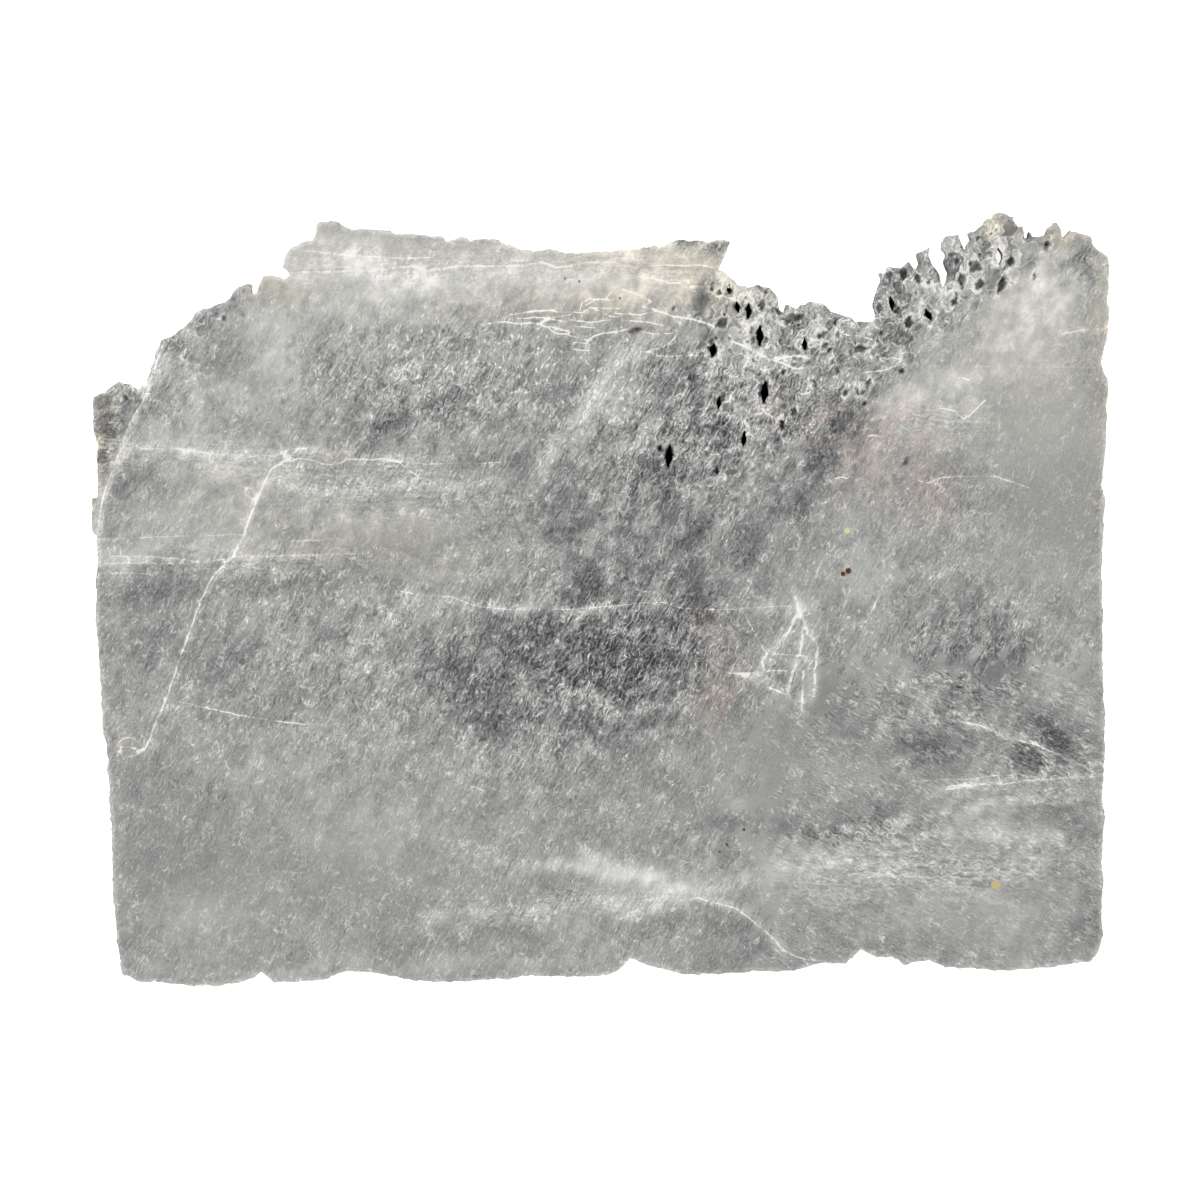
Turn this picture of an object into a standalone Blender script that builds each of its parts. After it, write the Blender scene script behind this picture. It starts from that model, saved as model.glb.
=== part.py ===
"""A slab of selenite: one cleaved plate of gypsum crystal, lying on its flat back.

Sizes are in millimetres until the mesh is made. X runs along the long side, Y towards the
ragged upper side, and Z up out of the face. The origin is in the middle of the plate, on the
surface that the plate lies on.
"""

import math
import random

import bmesh
import bpy
import numpy as np
from mathutils import Vector, noise
from mathutils.geometry import delaunay_2d_cdt

# --- Driving dimensions, in millimetres ---------------------------------------------------

MM = 0.001
BODY_THICKNESS = 12.0
LEAST_THICKNESS = 2.2
FACE_GRAIN = 6.2  # how far apart the loose points of the face are
BACK_GRAIN = 17.0
GUIDE_GRAIN = 3.4  # how far apart points stand along a cleavage step
GUIDE_ROOM = 1.8  # and how far such a row keeps from the outline and the holes
LONGEST_EDGE = 6.0  # a longer straight run of the outline is broken up
EDGE_WANDER = 0.22  # and its new corners stray this far
SEED = 41
STRAY = 0.2  # how far a loose point is off its net, as a share of the grain
OUTLINE_ROOM = 0.45  # how far loose points keep off the outline, as a share of the grain
HOLE_ROOM = 0.3  # how far off the holes
STEP_ROOM = 0.4  # and how far off the rows of points along steps
WORN_REACH = 2.2  # the face is worn down this far in from the outline
WORN_DROP = 0.55

# How the side wall runs from the face down to the back: how far down, how far in from the
# outline, and how much further in the uneven edges of the sheets lie there. The widest ring
# is the outline itself.
WALL_RINGS = ((0.0, 0.5, 0.0), (0.2, 0.0, 0.0), (0.48, 0.2, 0.9), (0.74, 0.0, 0.7), (1.0, 0.6, 0.5))
INSET_SHARE = 0.2  # a narrow finger is never taken in by more than this share of its width
SHEET_WAVE = 7.0  # length of the waves along the sheets' edges
RING_WANDER = 0.12  # and how far a ring strays up and down, as a share of the thickness

# --- Outline, clockwise from the left end of the upper side ---------------------------------

TONGUE_TOP = [
    (-152.4, 60.8), (-150.6, 61.9), (-149.1, 62.1), (-147.3, 64.3), (-146.1, 65.2), (-144.6, 66),
    (-143.4, 65.2), (-141, 64.5), (-139.2, 63.3), (-137.4, 64.6), (-136.5, 64.2), (-135.9, 67),
    (-135, 69.5), (-134.1, 72.5), (-133.2, 75.1), (-132, 77.8), (-130.5, 78.8), (-127.5, 79.5),
]
STEPPED_CORNER = [
    (-126.3, 81), (-125.1, 81.6), (-123, 83.8), (-121.8, 85.8), (-119.4, 87.8), (-116.1, 88.3),
    (-112.8, 89.5), (-111, 90.8), (-110.4, 92.5), (-109.2, 93.8), (-107.7, 94.5), (-105.9, 95),
    (-104.4, 94.3), (-104.4, 92), (-103.2, 92), (-102.3, 94.6), (-101.4, 97), (-100.2, 97.6),
    (-96, 96.8), (-94.5, 96.5), (-93.6, 97.5), (-95.4, 99.9), (-94.8, 102.1), (-93.9, 104.2),
    (-92.7, 105.5), (-91.2, 106.3), (-87.9, 108), (-86.4, 108.1), (-85.2, 111.8), (-84.3, 113.4),
    (-80.7, 114), (-78, 113.5), (-76.8, 112.2),
]
TOP_PLATE_EDGE = [
    (-74.4, 111.5), (-69, 111.3), (-63.6, 110.8), (-61.2, 109.8), (-52.8, 109.6), (-47.4, 109),
    (-45.9, 107.5), (-42, 108.8), (-40.2, 108.9), (-39, 108), (-34.5, 108.6), (-30.3, 108.3),
    (-28.2, 106.6), (-25.8, 106.3), (-23.7, 104.8), (-19.5, 105), (-15, 105.1), (-10.2, 104),
    (-5.4, 104.2), (0, 104.5), (6, 105.1), (12, 105.5), (16.2, 106.5), (18, 106), (20.4, 107),
    (22.8, 107.8), (25.2, 108), (26.7, 107.5), (28.5, 108), (32.4, 107.4), (37.2, 108.3),
    (39.3, 107.5), (38.4, 104.8), (37.5, 102.1), (35.7, 99),
]
BAY = [
    (38.1, 98.2), (40.2, 96.1), (42.3, 94.5), (44.4, 94), (47.7, 95), (49.2, 94.2), (51, 93.5),
    (52.2, 92.2), (53.4, 91.6), (53.7, 89.5), (54, 86.8), (55.2, 86.2), (55.8, 88.5), (56.7, 88.6),
    (59.1, 87.1), (60, 88.6), (63.6, 89.4), (66.3, 89.2), (68.1, 88.3), (69.3, 86.5), (72, 86),
    (74.7, 84.9), (75.6, 85.2), (76.8, 83.8), (79.8, 83.5), (81.9, 83.7),
]
HORN_LEFT = [
    (82.8, 85), (82.2, 86.8), (81.8, 89), (82.8, 91.6), (83.7, 94.6), (84, 96.8), (83.5, 98),
    (84.3, 98.5), (85.2, 98), (85.8, 99.8), (87, 100.3), (89.7, 99.5), (90.9, 100.5),
    (92.7, 101.4), (94.8, 99.1), (95.5, 100.6), (95.1, 104), (96, 104.7), (99.6, 106.3),
    (98.7, 104.2), (99.6, 101.5), (101.4, 98.5), (102.3, 96.1), (103.2, 93.8), (104.1, 95.8),
    (104.4, 98.2), (103, 101.2), (103.8, 103.6), (102.3, 105), (102.6, 107.5), (103.8, 109.2),
    (105.3, 109.8), (108, 109.6), (108.6, 107), (109.5, 105.1), (110.1, 106.6), (111, 108.1),
    (110.4, 110.2), (111.6, 110.8), (112.5, 110.5),
]
HORN_TOP = [
    (114.6, 112.6), (116.1, 114.1), (117.3, 114.5), (118.5, 115.8), (120.3, 116.4), (121.8, 116.2),
    (123, 115.3), (124.2, 115), (124.8, 113.8), (125.7, 112.3), (127, 112.3), (127.5, 110.8),
    (127.8, 108.8), (128.4, 109), (128.7, 110.7), (129.6, 110.2), (129.9, 109.2), (133.5, 109.3),
    (134.4, 111.5), (136.2, 113.5), (137.4, 113.5), (138.3, 112), (138.9, 108.8), (139.8, 109.6),
    (141, 110.5), (143.1, 110.4), (147.3, 109), (147.6, 107), (149.4, 104.8), (150.9, 104.4),
    (152.4, 103),
]
RIGHT_EDGE = [
    (153, 100), (153, 95), (152.4, 90.8), (153, 86.8), (152.5, 80), (151.8, 75.1),
    (150.9, 71.5), (151.2, 68.5), (152.7, 66.5), (153, 62.8), (152.4, 58.6), (152.1, 47.9),
    (151.5, 38.9), (150.9, 34.6), (151.8, 30.8), (151.2, 19.6), (150.9, 8.5), (151.2, -4),
    (151.2, -18.4), (151.8, -34.6), (151.8, -48.1), (150.9, -59.5), (151.8, -65.5), (150.9, -78.8),
    (151.5, -85.6), (150.9, -91.3), (151.2, -101), (150, -105.5), (147.9, -108.8),
]
BOTTOM_EDGE = [
    (141.6, -109.6), (133.8, -110.8), (121.5, -111.8), (112.5, -110.8), (103.8, -110.5),
    (99, -108.5), (95.4, -108.8), (91.2, -109.6), (87.9, -107.5), (83.1, -107.5), (78.3, -105.1),
    (75.9, -107.5), (73.8, -109.6), (66.9, -109.3), (58.2, -111.8), (46.2, -111.8), (38.7, -112.6),
    (25.8, -113), (14.7, -110), (9, -108.1), (5.4, -111.8), (3, -113), (-8.7, -113.5),
    (-23.4, -113), (-24.6, -113.8), (-44.7, -115), (-54, -114.8), (-64.2, -113), (-74.7, -111.5),
    (-78.9, -112.6), (-81.9, -114.1), (-91.2, -115), (-97.8, -115), (-101.7, -112),
    (-105.3, -114.5), (-109.5, -115.3), (-115.5, -116.2), (-117.3, -115.6), (-121.8, -116.4),
    (-130.8, -115), (-138.3, -115), (-143.7, -112.6),
]
LEFT_EDGE = [
    (-144.3, -108.5), (-145.2, -102.5), (-146.4, -88.3), (-146.7, -76), (-147.6, -54.8),
    (-148.5, -44.9), (-149.7, -37.4), (-150.3, -24.1), (-151.2, -9.4), (-151.8, 5.8),
    (-150.9, 13.3), (-151.5, 19.1), (-153, 21.1), (-152.7, 30.4), (-151.2, 30.8), (-151.5, 41.9),
    (-151.2, 46.9), (-152.4, 50.5), (-152.7, 56.9),
]
OUTLINE = (
    TONGUE_TOP + STEPPED_CORNER + TOP_PLATE_EDGE + BAY + HORN_LEFT + HORN_TOP
    + RIGHT_EDGE + BOTTOM_EDGE + LEFT_EDGE
)

# --- Holes right through, and pits: middle, half length, half width, lean in degrees --------

HOLES = [
    (38.7, 93.2, 1.8, 0.7, 0),
    (41.3, 87.8, 2.0, 0.8, -12),
    (44.6, 86.7, 2.7, 1.0, 0),
    (48.0, 79.2, 3.5, 1.2, 0),
    (33.9, 74.9, 2.4, 1.2, 6),
    (61.5, 76.7, 2.1, 0.8, 0),
    (49.4, 62.3, 4.0, 1.3, 4),
    (35.7, 59.0, 2.3, 0.8, 3),
    (20.7, 43.1, 4.0, 1.2, 4),
    (43.2, 48.2, 2.6, 0.9, 4),
    (87.6, 89.0, 2.4, 0.9, -9),
    (98.6, 85.4, 2.3, 1.0, -26),
    (119.8, 103.0, 2.9, 1.2, -6),
]
HOLE_TAPER = 0.85  # a hole is this much smaller at the back

# A pit has its depth as well.
PITS = [
    (91.2, 97.7, 2.4, 1.3, 4, 2.0),
    (108.6, 95.9, 3.2, 1.2, -4, 2.5),
    (95.4, 96.4, 2.2, 1.1, -20, 2.5),
    (112.6, 100.0, 2.6, 1.8, -60, 2.2),
    (114.0, 94.6, 2.2, 1.3, 15, 2.4),
    (120.6, 94.6, 3.9, 1.1, 22, 3.0),
    (123.2, 101.4, 2.2, 1.3, 20, 2.6),
    (134.1, 106.2, 2.4, 0.8, 35, 2.2),
    (86.6, 97.6, 1.6, 1.2, 0, 1.8),
    (92.8, 83.2, 2.6, 1.3, 10, 2.6),
    (106.6, 89.6, 2.2, 1.0, 30, 1.8),
    (57.6, 84.4, 4.2, 1.4, 84, 1.6),
    (48.6, 88.4, 2.0, 1.2, 10, 1.8),
    (36.6, 83.0, 2.6, 1.5, 60, 1.6),
    (66.6, 79.4, 2.2, 1.2, 60, 1.6),
    (78.0, 75.2, 4.4, 1.1, 74, 1.4),
    (90.9, 68.9, 1.6, 0.8, 0, 2.6),
    (54.6, 52.4, 1.8, 0.7, 0, 2.2),
    (18.0, 45.2, 1.7, 0.8, 0, 2.4),
    (35.1, 38.3, 1.5, 0.6, 0, 2.0),
    (28.0, 66.5, 2.6, 1.0, 75, 1.2),
    (10.4, 80.8, 3.2, 0.9, 80, 1.0),
]
PIT_FLOOR = 0.5  # share of a pit's width that is level floor
PIT_REACH = 1.35  # a pit begins to fall this many half widths from its middle

# The corners of an opening's rhombus, with blunt shoulders: how far across and along it, in its
# half sizes.
RHOMBUS = [(0, 1), (0.9, 0.3), (0.9, -0.35), (0, -1), (-0.9, -0.3), (-0.9, 0.35)]

# --- Cleavage steps of the face --------------------------------------------------------------
# Each is a brink, drawn across the plate, and far corners that close it off outside the plate.
# Inside, the face lies "rise" higher, which it reaches over the width of the ramp.

TERRACES = [
    dict(  # the thin layer left over at the upper left end
        brink=[(-136.2, 66.5), (-136.6, 62.5), (-137.1, 59.9), (-141.3, 52.7), (-143.4, 46.7),
               (-146.1, 39.8), (-148.8, 32.3), (-150.3, 23.3), (-151.2, 13.1), (-154, 8)],
        beyond=[(-170, 8), (-170, 70), (-140, 70)],
        rise=-5.6, ramp=1.9,
    ),
    dict(  # the field that has lost one more sheet, left of the long bright ledge
        brink=[(-155, 47.3), (-143.7, 47), (-137.7, 45.5), (-130.2, 45.2), (-123, 45.2),
               (-116.7, 43.7), (-107.1, 42.5), (-99.6, 43.4), (-96.3, 40.7), (-99, 39.2),
               (-100.8, 35.3), (-103.5, 29.3), (-105.6, 23.3), (-107.1, 18.8), (-110.4, 12.8),
               (-113.7, 9.8), (-116.7, 6.5), (-119.4, 1.1), (-123, -8.9), (-126, -17.3),
               (-129.6, -28.4), (-133.5, -37.4), (-136.5, -44.9), (-140.7, -44.9), (-155, -44.3)],
        beyond=[(-170, -44), (-170, 47)],
        rise=-0.9, ramp=0.9,
    ),
    dict(  # the crusty plate along the upper side
        brink=[(-99, 97), (-93.9, 98.3), (-75, 98.6), (-56.4, 100.1), (-52.8, 98.3), (-41.7, 100.1),
               (-28.2, 100.1), (-18.3, 101.3), (-13.5, 99.2), (-4.8, 101), (4.8, 101.3),
               (15, 100.1), (27, 99.5), (38, 99)],
        beyond=[(46, 99), (46, 130), (-99, 130)],
        rise=1.2, ramp=0.8,
    ),
    dict(  # the sheet under that plate, down to the wavy crack
        brink=[(-96.3, 40.7), (-90, 42.5), (-83.1, 40.7), (-76, 42), (-67.8, 41.8), (-60, 41.3),
               (-36, 41), (-20.7, 34.1), (-15.9, 42.8), (-12.9, 48.8), (-4.8, 56.3), (-3, 64.4),
               (-6, 73.4), (-8.1, 75.2), (-3, 77.9), (7.2, 80.9), (17.1, 86.6), (28.8, 83.9),
               (34.2, 81.8), (36.6, 90), (37, 99)],
        beyond=[(37, 130), (-180, 130), (-180, 47), (-143.7, 47), (-130.2, 45.2), (-107.1, 42.5),
                (-99.6, 43.4)],
        rise=0.5, ramp=0.8,
    ),
    dict(  # the low scales at the stepped corner
        brink=[(-128, 83), (-121, 84.8), (-115.5, 86.6), (-110.4, 88.7), (-106.5, 89),
               (-103.2, 89.6), (-102.6, 95)],
        beyond=[(-102.6, 105), (-128, 105)],
        rise=-3.2, ramp=1.4,
    ),
    dict(  # the dissolved rim round the bay and along the horn
        brink=[(33, 96.5), (36.2, 93.4), (40.5, 84.5), (48, 75.8), (57, 73.9), (72, 75.6),
               (84, 75.4), (91.5, 79.3), (99, 82.3), (108, 88.9), (115.5, 91.8), (123.6, 98.5),
               (127.8, 105.1), (133.2, 106.9), (134.6, 109.4), (136, 118)],
        beyond=[(136, 130), (33, 130)],
        rise=-2.6, ramp=3.6,
    ),
]

# A slope is drawn in the same way, and falls away from its brink by "fall" for each
# millimetre, down to "most" in all.
SLOPES = [
    dict(  # the chipped facet in the lower side
        brink=[(4, -113), (6.6, -102.2), (7.2, -95.6), (12.9, -92.6), (29.4, -89.3), (41.1, -92.9),
               (49.2, -99.2), (55.8, -105.8), (62.1, -108.2), (75, -110)],
        beyond=[(75, -130), (4, -130)],
        fall=0.24, most=4.6,
    ),
    dict(  # the worn right edge
        brink=[(149.5, 107), (148.2, 80), (147.3, 60), (147.6, 0), (147.3, -60), (146.4, -100),
               (143, -114)],
        beyond=[(170, -114), (170, 107)],
        fall=0.4, most=1.9,
    ),
    dict(  # the worn lower left edge
        brink=[(-151, -46), (-142.5, -52), (-141.6, -80), (-140.4, -106), (-136, -118)],
        beyond=[(-170, -118), (-170, -46)],
        fall=0.3, most=1.6,
    ),
    dict(  # the long fall of the upper left edge
        brink=[(-137.5, 62), (-132, 66), (-126, 73.5), (-119, 81), (-112, 86)],
        beyond=[(-112, 110), (-150, 110), (-150, 62)],
        fall=0.28, most=2.4,
    ),
]

# --- Hollows of the back ---------------------------------------------------------------------

BACK_HOLLOWS = [
    dict(  # under the thin layer
        brink=[(-131, 75), (-133, 60), (-140, 45), (-146, 30), (-149, 14), (-156, 8)],
        beyond=[(-170, 8), (-170, 75)],
        rise=1.8, ramp=2.0,
    ),
    dict(  # under the horn
        brink=[(78, 78), (88, 84), (104, 88), (118, 95), (131, 101), (146, 104), (156, 96)],
        beyond=[(170, 130), (78, 130)],
        rise=1.6, ramp=2.4,
    ),
    dict(  # under the chipped facet
        brink=[(20, -118), (27, -107), (44, -105), (52, -109), (60, -118)],
        beyond=[(60, -130), (20, -130)],
        rise=1.4, ramp=2.0,
    ),
]

# --- Swell of the face: height, size of the waves, and where in the noise they are read ------

SWELLS = ((0.42, 46.0, 3.0), (0.2, 17.0, 11.0), (0.1, 6.0, 23.0))
POROUS_SWELLS = ((1.1, 13.0, 31.0), (0.8, 5.0, 47.0))
WORN_SWELLS = ((0.5, 9.0, 61.0),)
SHEET_LEVEL = 40.0  # where in the noise the sheets' edges are read
RING_LEVEL = 71.0

STONE_COLOUR = (0.38, 0.39, 0.37, 1.0)
STONE_ROUGHNESS = 0.4
REFRACTION = 1.52


def lens(x, y, long, wide, lean, scale=1.0):
    """The six corners of a rhombic opening with blunt shoulders."""
    turn = math.radians(-lean)
    points = []
    for across, along in RHOMBUS:
        u = across * wide * scale
        v = along * long * scale
        points.append((x + u * math.cos(turn) - v * math.sin(turn),
                       y + u * math.sin(turn) + v * math.cos(turn)))
    return points


def roughened(loop, longest, wander, chance):
    """The loop with its long runs broken into short ones that stray a little."""
    points = []
    for here, following in zip(loop, loop[1:] + loop[:1]):
        points.append(here)
        run = math.dist(here, following)
        pieces = math.ceil(run / longest)
        for step in range(1, pieces):
            share = step / pieces
            along = [a + (b - a) * share for a, b in zip(here, following)]
            points.append(tuple(value + chance.uniform(-wander, wander) for value in along))
    return points


def inside(points, loop):
    """Which of the points lie within the closed loop."""
    x, y = points[:, 0], points[:, 1]
    within = np.zeros(len(points), bool)
    for (ax, ay), (bx, by) in zip(loop, list(loop[1:]) + [loop[0]]):
        if ay == by:
            continue
        crosses = (ay > y) != (by > y)
        within ^= crosses & (x < (bx - ax) * (y - ay) / (by - ay) + ax)
    return within


def distance(points, line, closed=False):
    """How far each point is from the line of straight runs."""
    ends = list(line[1:]) + ([line[0]] if closed else [])
    nearest = np.full(len(points), 1e9)
    for start, end in zip(line, ends):
        start = np.array(start, float)
        run = np.array(end, float) - start
        share = ((points - start) @ run) / max(run @ run, 1e-12)
        foot = start + np.clip(share, 0, 1)[:, None] * run
        nearest = np.minimum(nearest, np.linalg.norm(points - foot, axis=1))
    return nearest


def eased(share):
    """0 to 1 with soft ends."""
    share = np.clip(share, 0, 1)
    return share * share * (3 - 2 * share)


def depth_within(points, area):
    """Signed distance from the area's brink, more than 0 inside the area."""
    far = distance(points, area["brink"])
    return np.where(inside(points, area["brink"] + area["beyond"]), far, -far)


def swell(points, waves):
    """A sum of soft noises."""
    height = np.zeros(len(points))
    for size, length, level in waves:
        height += [
            size * noise.noise(Vector((x / length, y / length, level))) for x, y in points
        ]
    return height


def pit_depth(points, pit):
    """How far the pit goes down at each point."""
    x, y, long, wide, lean, depth = pit
    turn = math.radians(-lean)
    u = (points[:, 0] - x) * math.cos(turn) + (points[:, 1] - y) * math.sin(turn)
    v = (points[:, 1] - y) * math.cos(turn) - (points[:, 0] - x) * math.sin(turn)
    share = np.abs(u) / (wide * PIT_REACH) + np.abs(v) / long
    return depth * eased((1.0 - share) / (1.0 - PIT_FLOOR))


def face_height(points, outline):
    """Height of the face over the surface that the plate lies on."""
    height = np.full(len(points), BODY_THICKNESS)
    for terrace in TERRACES:
        height += terrace["rise"] * eased(0.5 + depth_within(points, terrace) / terrace["ramp"])
    for slope in SLOPES:
        down = np.clip(depth_within(points, slope), 0, None) * slope["fall"]
        height -= np.minimum(down, slope["most"])
    height += swell(points, SWELLS)
    porous = eased(0.5 + depth_within(points, TERRACES[-1]) / TERRACES[-1]["ramp"])
    height += porous * swell(points, POROUS_SWELLS)
    for pit in PITS:
        height -= pit_depth(points, pit)
    worn = eased(1.0 - distance(points, outline, closed=True) / WORN_REACH)
    height -= worn * (WORN_DROP + swell(points, WORN_SWELLS))
    return np.maximum(height, back_height(points) + LEAST_THICKNESS)


def back_height(points):
    """Height of the back: 0 where the plate rests, more in the hollows."""
    height = np.zeros(len(points))
    for hollow in BACK_HOLLOWS:
        height += hollow["rise"] * eased(0.5 + depth_within(points, hollow) / hollow["ramp"])
    return height


def beside(line, by, longest):
    """The line shifted sideways, with its long runs broken up."""
    shifted = []
    for start, end in zip(line, line[1:]):
        run = Vector(end) - Vector(start)
        aside = Vector((-run.y, run.x)).normalized() * by
        pieces = math.ceil(run.length / longest)
        shifted += [Vector(start) + aside + run * step / pieces for step in range(pieces)]
    return [tuple(point) for point in shifted]


def clear_runs(line, loops, room):
    """The stretches of the line that lie on the plate, at least this far from its edges."""
    flat = np.array(line)
    clear = inside(flat, loops[0])
    for loop in loops:
        clear &= distance(flat, loop, closed=True) > room
    for loop in loops[1:]:
        clear &= ~inside(flat, loop)
    runs = [[]]
    for point, free in zip(line, clear):
        if free:
            runs[-1].append(point)
        else:
            runs.append([])
    return [run for run in runs if len(run) > 1]


def guides_of(areas, loops):
    """Lines of mesh points along both sides of each step, kept off the edges."""
    lines = []
    for area in areas:
        half = area.get("ramp", 0) / 2
        for side in (-half, half) if half else (0,):
            lines += clear_runs(beside(area["brink"], side, GUIDE_GRAIN), loops, GUIDE_ROOM)
    return lines


def loose_points(loops, guides, grain, chance):
    """Points of a jittered triangular net over the plate, clear of the loops and guides."""
    low = np.min(loops[0], axis=0)
    high = np.max(loops[0], axis=0)
    rise = grain * math.sqrt(3) / 2
    net = []
    for row in range(int((high[1] - low[1]) / rise) + 1):
        for column in range(int((high[0] - low[0]) / grain) + 1):
            x = low[0] + (column + row % 2 / 2) * grain
            y = low[1] + row * rise
            x += chance.uniform(-STRAY, STRAY) * grain
            y += chance.uniform(-STRAY, STRAY) * grain
            net.append((x, y))
    net = np.array(net)
    free = inside(net, loops[0]) & (distance(net, loops[0], closed=True) > OUTLINE_ROOM * grain)
    for loop in loops[1:]:
        free &= ~inside(net, loop) & (distance(net, loop, closed=True) > HOLE_ROOM * grain)
    for guide in guides:
        free &= distance(net, guide) > STEP_ROOM * grain
    return [tuple(point) for point in net[free]]


def flat_mesh(loops, guides, loose):
    """Triangles that fill the outer loop and leave the inner ones open.

    Returns the points, the triangles, and each loop's points as numbers in the first list.
    """
    points, edges, spans = [], [], []
    for line, closed in [(loop, True) for loop in loops] + [(guide, False) for guide in guides]:
        first = len(points)
        points += line
        last = len(points) - 1
        edges += [(index, index + 1) for index in range(first, last)]
        if closed:
            edges.append((last, first))
            spans.append(range(first, last + 1))
    points += loose
    made = delaunay_2d_cdt([Vector(point) for point in points], edges, [], 0, 1e-5)
    flat = np.array([tuple(point) for point in made[0]])
    triangles = np.array([tuple(face) for face in made[2]])
    became = {old: new for new, olds in enumerate(made[3]) for old in olds}
    middles = flat[triangles].mean(axis=1)
    kept = inside(middles, loops[0])
    for loop in loops[1:]:
        kept &= ~inside(middles, loop)
    rings = [[became[old] for old in span] for span in spans]
    return flat, triangles[kept], rings


def stone_beside(loop):
    """How wide the stone or the gap beside each corner of the loop is."""
    flat = np.array(loop)
    count = len(loop)
    widths = []
    for index in range(count):
        others = [flat[(index + step) % count] for step in range(2, count - 1)]
        widths.append(distance(flat[index:index + 1], others)[0])
    return widths


def wall_ring(loop, widths, ring):
    """The clockwise outline taken in for one ring of the wall, by less where it is narrow."""
    down, inset, uneven = ring
    moved = []
    for index, (x, y) in enumerate(loop):
        along = Vector(loop[(index + 1) % len(loop)]) - Vector(loop[index - 1])
        into = Vector((along.y, -along.x)).normalized()
        ragged = 0.5 + noise.noise(Vector((x / SHEET_WAVE, y / SHEET_WAVE, down * SHEET_LEVEL)))
        amount = min(inset + uneven * max(ragged, 0), INSET_SHARE * widths[index])
        moved.append((x + into.x * amount, y + into.y * amount))
    return moved


def wall(mesh, top_ring, bottom_ring, between):
    """Joins the rim of the face to the rim of the back through the rings between them."""
    rings = [top_ring] + between + [bottom_ring]
    for upper, lower in zip(rings, rings[1:]):
        for index in range(len(upper)):
            after = (index + 1) % len(upper)
            mesh.faces.new((upper[index], lower[index], lower[after]))
            mesh.faces.new((upper[index], lower[after], upper[after]))


def slab_mesh():
    """The whole plate as one closed mesh, in millimetres."""
    chance = random.Random(SEED)
    outline = roughened(OUTLINE, LONGEST_EDGE, EDGE_WANDER, chance)
    holes = [lens(*hole) for hole in HOLES]
    hole_backs = [lens(*hole, scale=HOLE_TAPER) for hole in HOLES]
    pit_rims = [lens(*pit[:5]) for pit in PITS]
    pit_floors = [lens(*pit[:5], scale=PIT_FLOOR) for pit in PITS]

    widths = stone_beside(outline)
    sides = [wall_ring(outline, widths, ring) for ring in WALL_RINGS]
    face_loops = [sides[0]] + holes
    back_loops = [sides[-1]] + hole_backs
    face_guides = guides_of(TERRACES + SLOPES, face_loops)
    rings = [rim + rim[:1] for rim in pit_rims + pit_floors]
    rings = [ring for ring in rings if inside(np.array(ring), face_loops[0]).all()]
    back_guides = guides_of(BACK_HOLLOWS, back_loops)
    face_loose = loose_points(face_loops, face_guides + rings, FACE_GRAIN, chance)
    back_loose = loose_points(back_loops, back_guides, BACK_GRAIN, chance)
    face, face_triangles, face_rings = flat_mesh(face_loops, face_guides + rings, face_loose)
    back, back_triangles, back_rings = flat_mesh(back_loops, back_guides, back_loose)
    face_z = face_height(face, outline)
    back_z = back_height(back)

    mesh = bmesh.new()
    upper = [mesh.verts.new((x, y, z)) for (x, y), z in zip(face, face_z)]
    lower = [mesh.verts.new((x, y, z)) for (x, y), z in zip(back, back_z)]
    for a, b, c in face_triangles:
        mesh.faces.new((upper[a], upper[b], upper[c]))
    for a, b, c in back_triangles:
        mesh.faces.new((lower[c], lower[b], lower[a]))
    for number, (face_ring, back_ring) in enumerate(zip(face_rings, back_rings)):
        between = []
        for (down, _, _), side in list(zip(WALL_RINGS, sides))[1:-1] if number == 0 else ():
            ring = []
            for (x, y), above, below in zip(side, face_ring, back_ring):
                stray = noise.noise(Vector((x / SHEET_WAVE, y / SHEET_WAVE, RING_LEVEL)))
                share = down + RING_WANDER * stray
                z = face_z[above] + (back_z[below] - face_z[above]) * share
                ring.append(mesh.verts.new((x, y, z)))
            between.append(ring)
        wall(mesh, [upper[i] for i in face_ring], [lower[i] for i in back_ring], between)
    bmesh.ops.recalc_face_normals(mesh, faces=mesh.faces)
    return mesh


def selenite():
    """Greyish, half clear gypsum."""
    material = bpy.data.materials.new("selenite")
    material.use_nodes = True
    shader = material.node_tree.nodes["Principled BSDF"]
    shader.inputs["Base Color"].default_value = STONE_COLOUR
    shader.inputs["Roughness"].default_value = STONE_ROUGHNESS
    shader.inputs["Metallic"].default_value = 0.0
    shader.inputs["IOR"].default_value = REFRACTION
    return material


def main():
    for old in list(bpy.data.objects):
        bpy.data.objects.remove(old, do_unlink=True)
    built = slab_mesh()
    for vertex in built.verts:
        vertex.co *= MM
    data = bpy.data.meshes.new("selenite_slab")
    built.to_mesh(data)
    built.free()
    data.materials.append(selenite())
    slab = bpy.data.objects.new("selenite_slab", data)
    bpy.context.scene.collection.objects.link(slab)
    print("slab:", " x ".join(f"{side / MM:.1f}" for side in slab.dimensions), "mm")
    print("triangles:", len(data.polygons))


main()
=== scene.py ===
# %% [markdown]
# # A slab of selenite
#
# Selenite is gypsum that grew as a large, nearly clear crystal and splits into flat plates. This
# one lies on its flat back. Its face is a patchwork: clear grey windows full of fine needles,
# milky veils where the crystal is full of tiny bubbles, white cleavage cracks, a crusty plate
# along the upper side, and a ragged rim that water has eaten into rhombic holes.
#
# The solid model gives the overall form. Here its one node is replaced by a much finer mesh of
# the same form, which carries masks for a material made of nodes alone.

# %% Tools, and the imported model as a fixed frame
import math
import random

import bpy
import numpy as np
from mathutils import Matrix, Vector, noise
from mathutils.bvhtree import BVHTree
from mathutils.geometry import delaunay_2d_cdt


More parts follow.
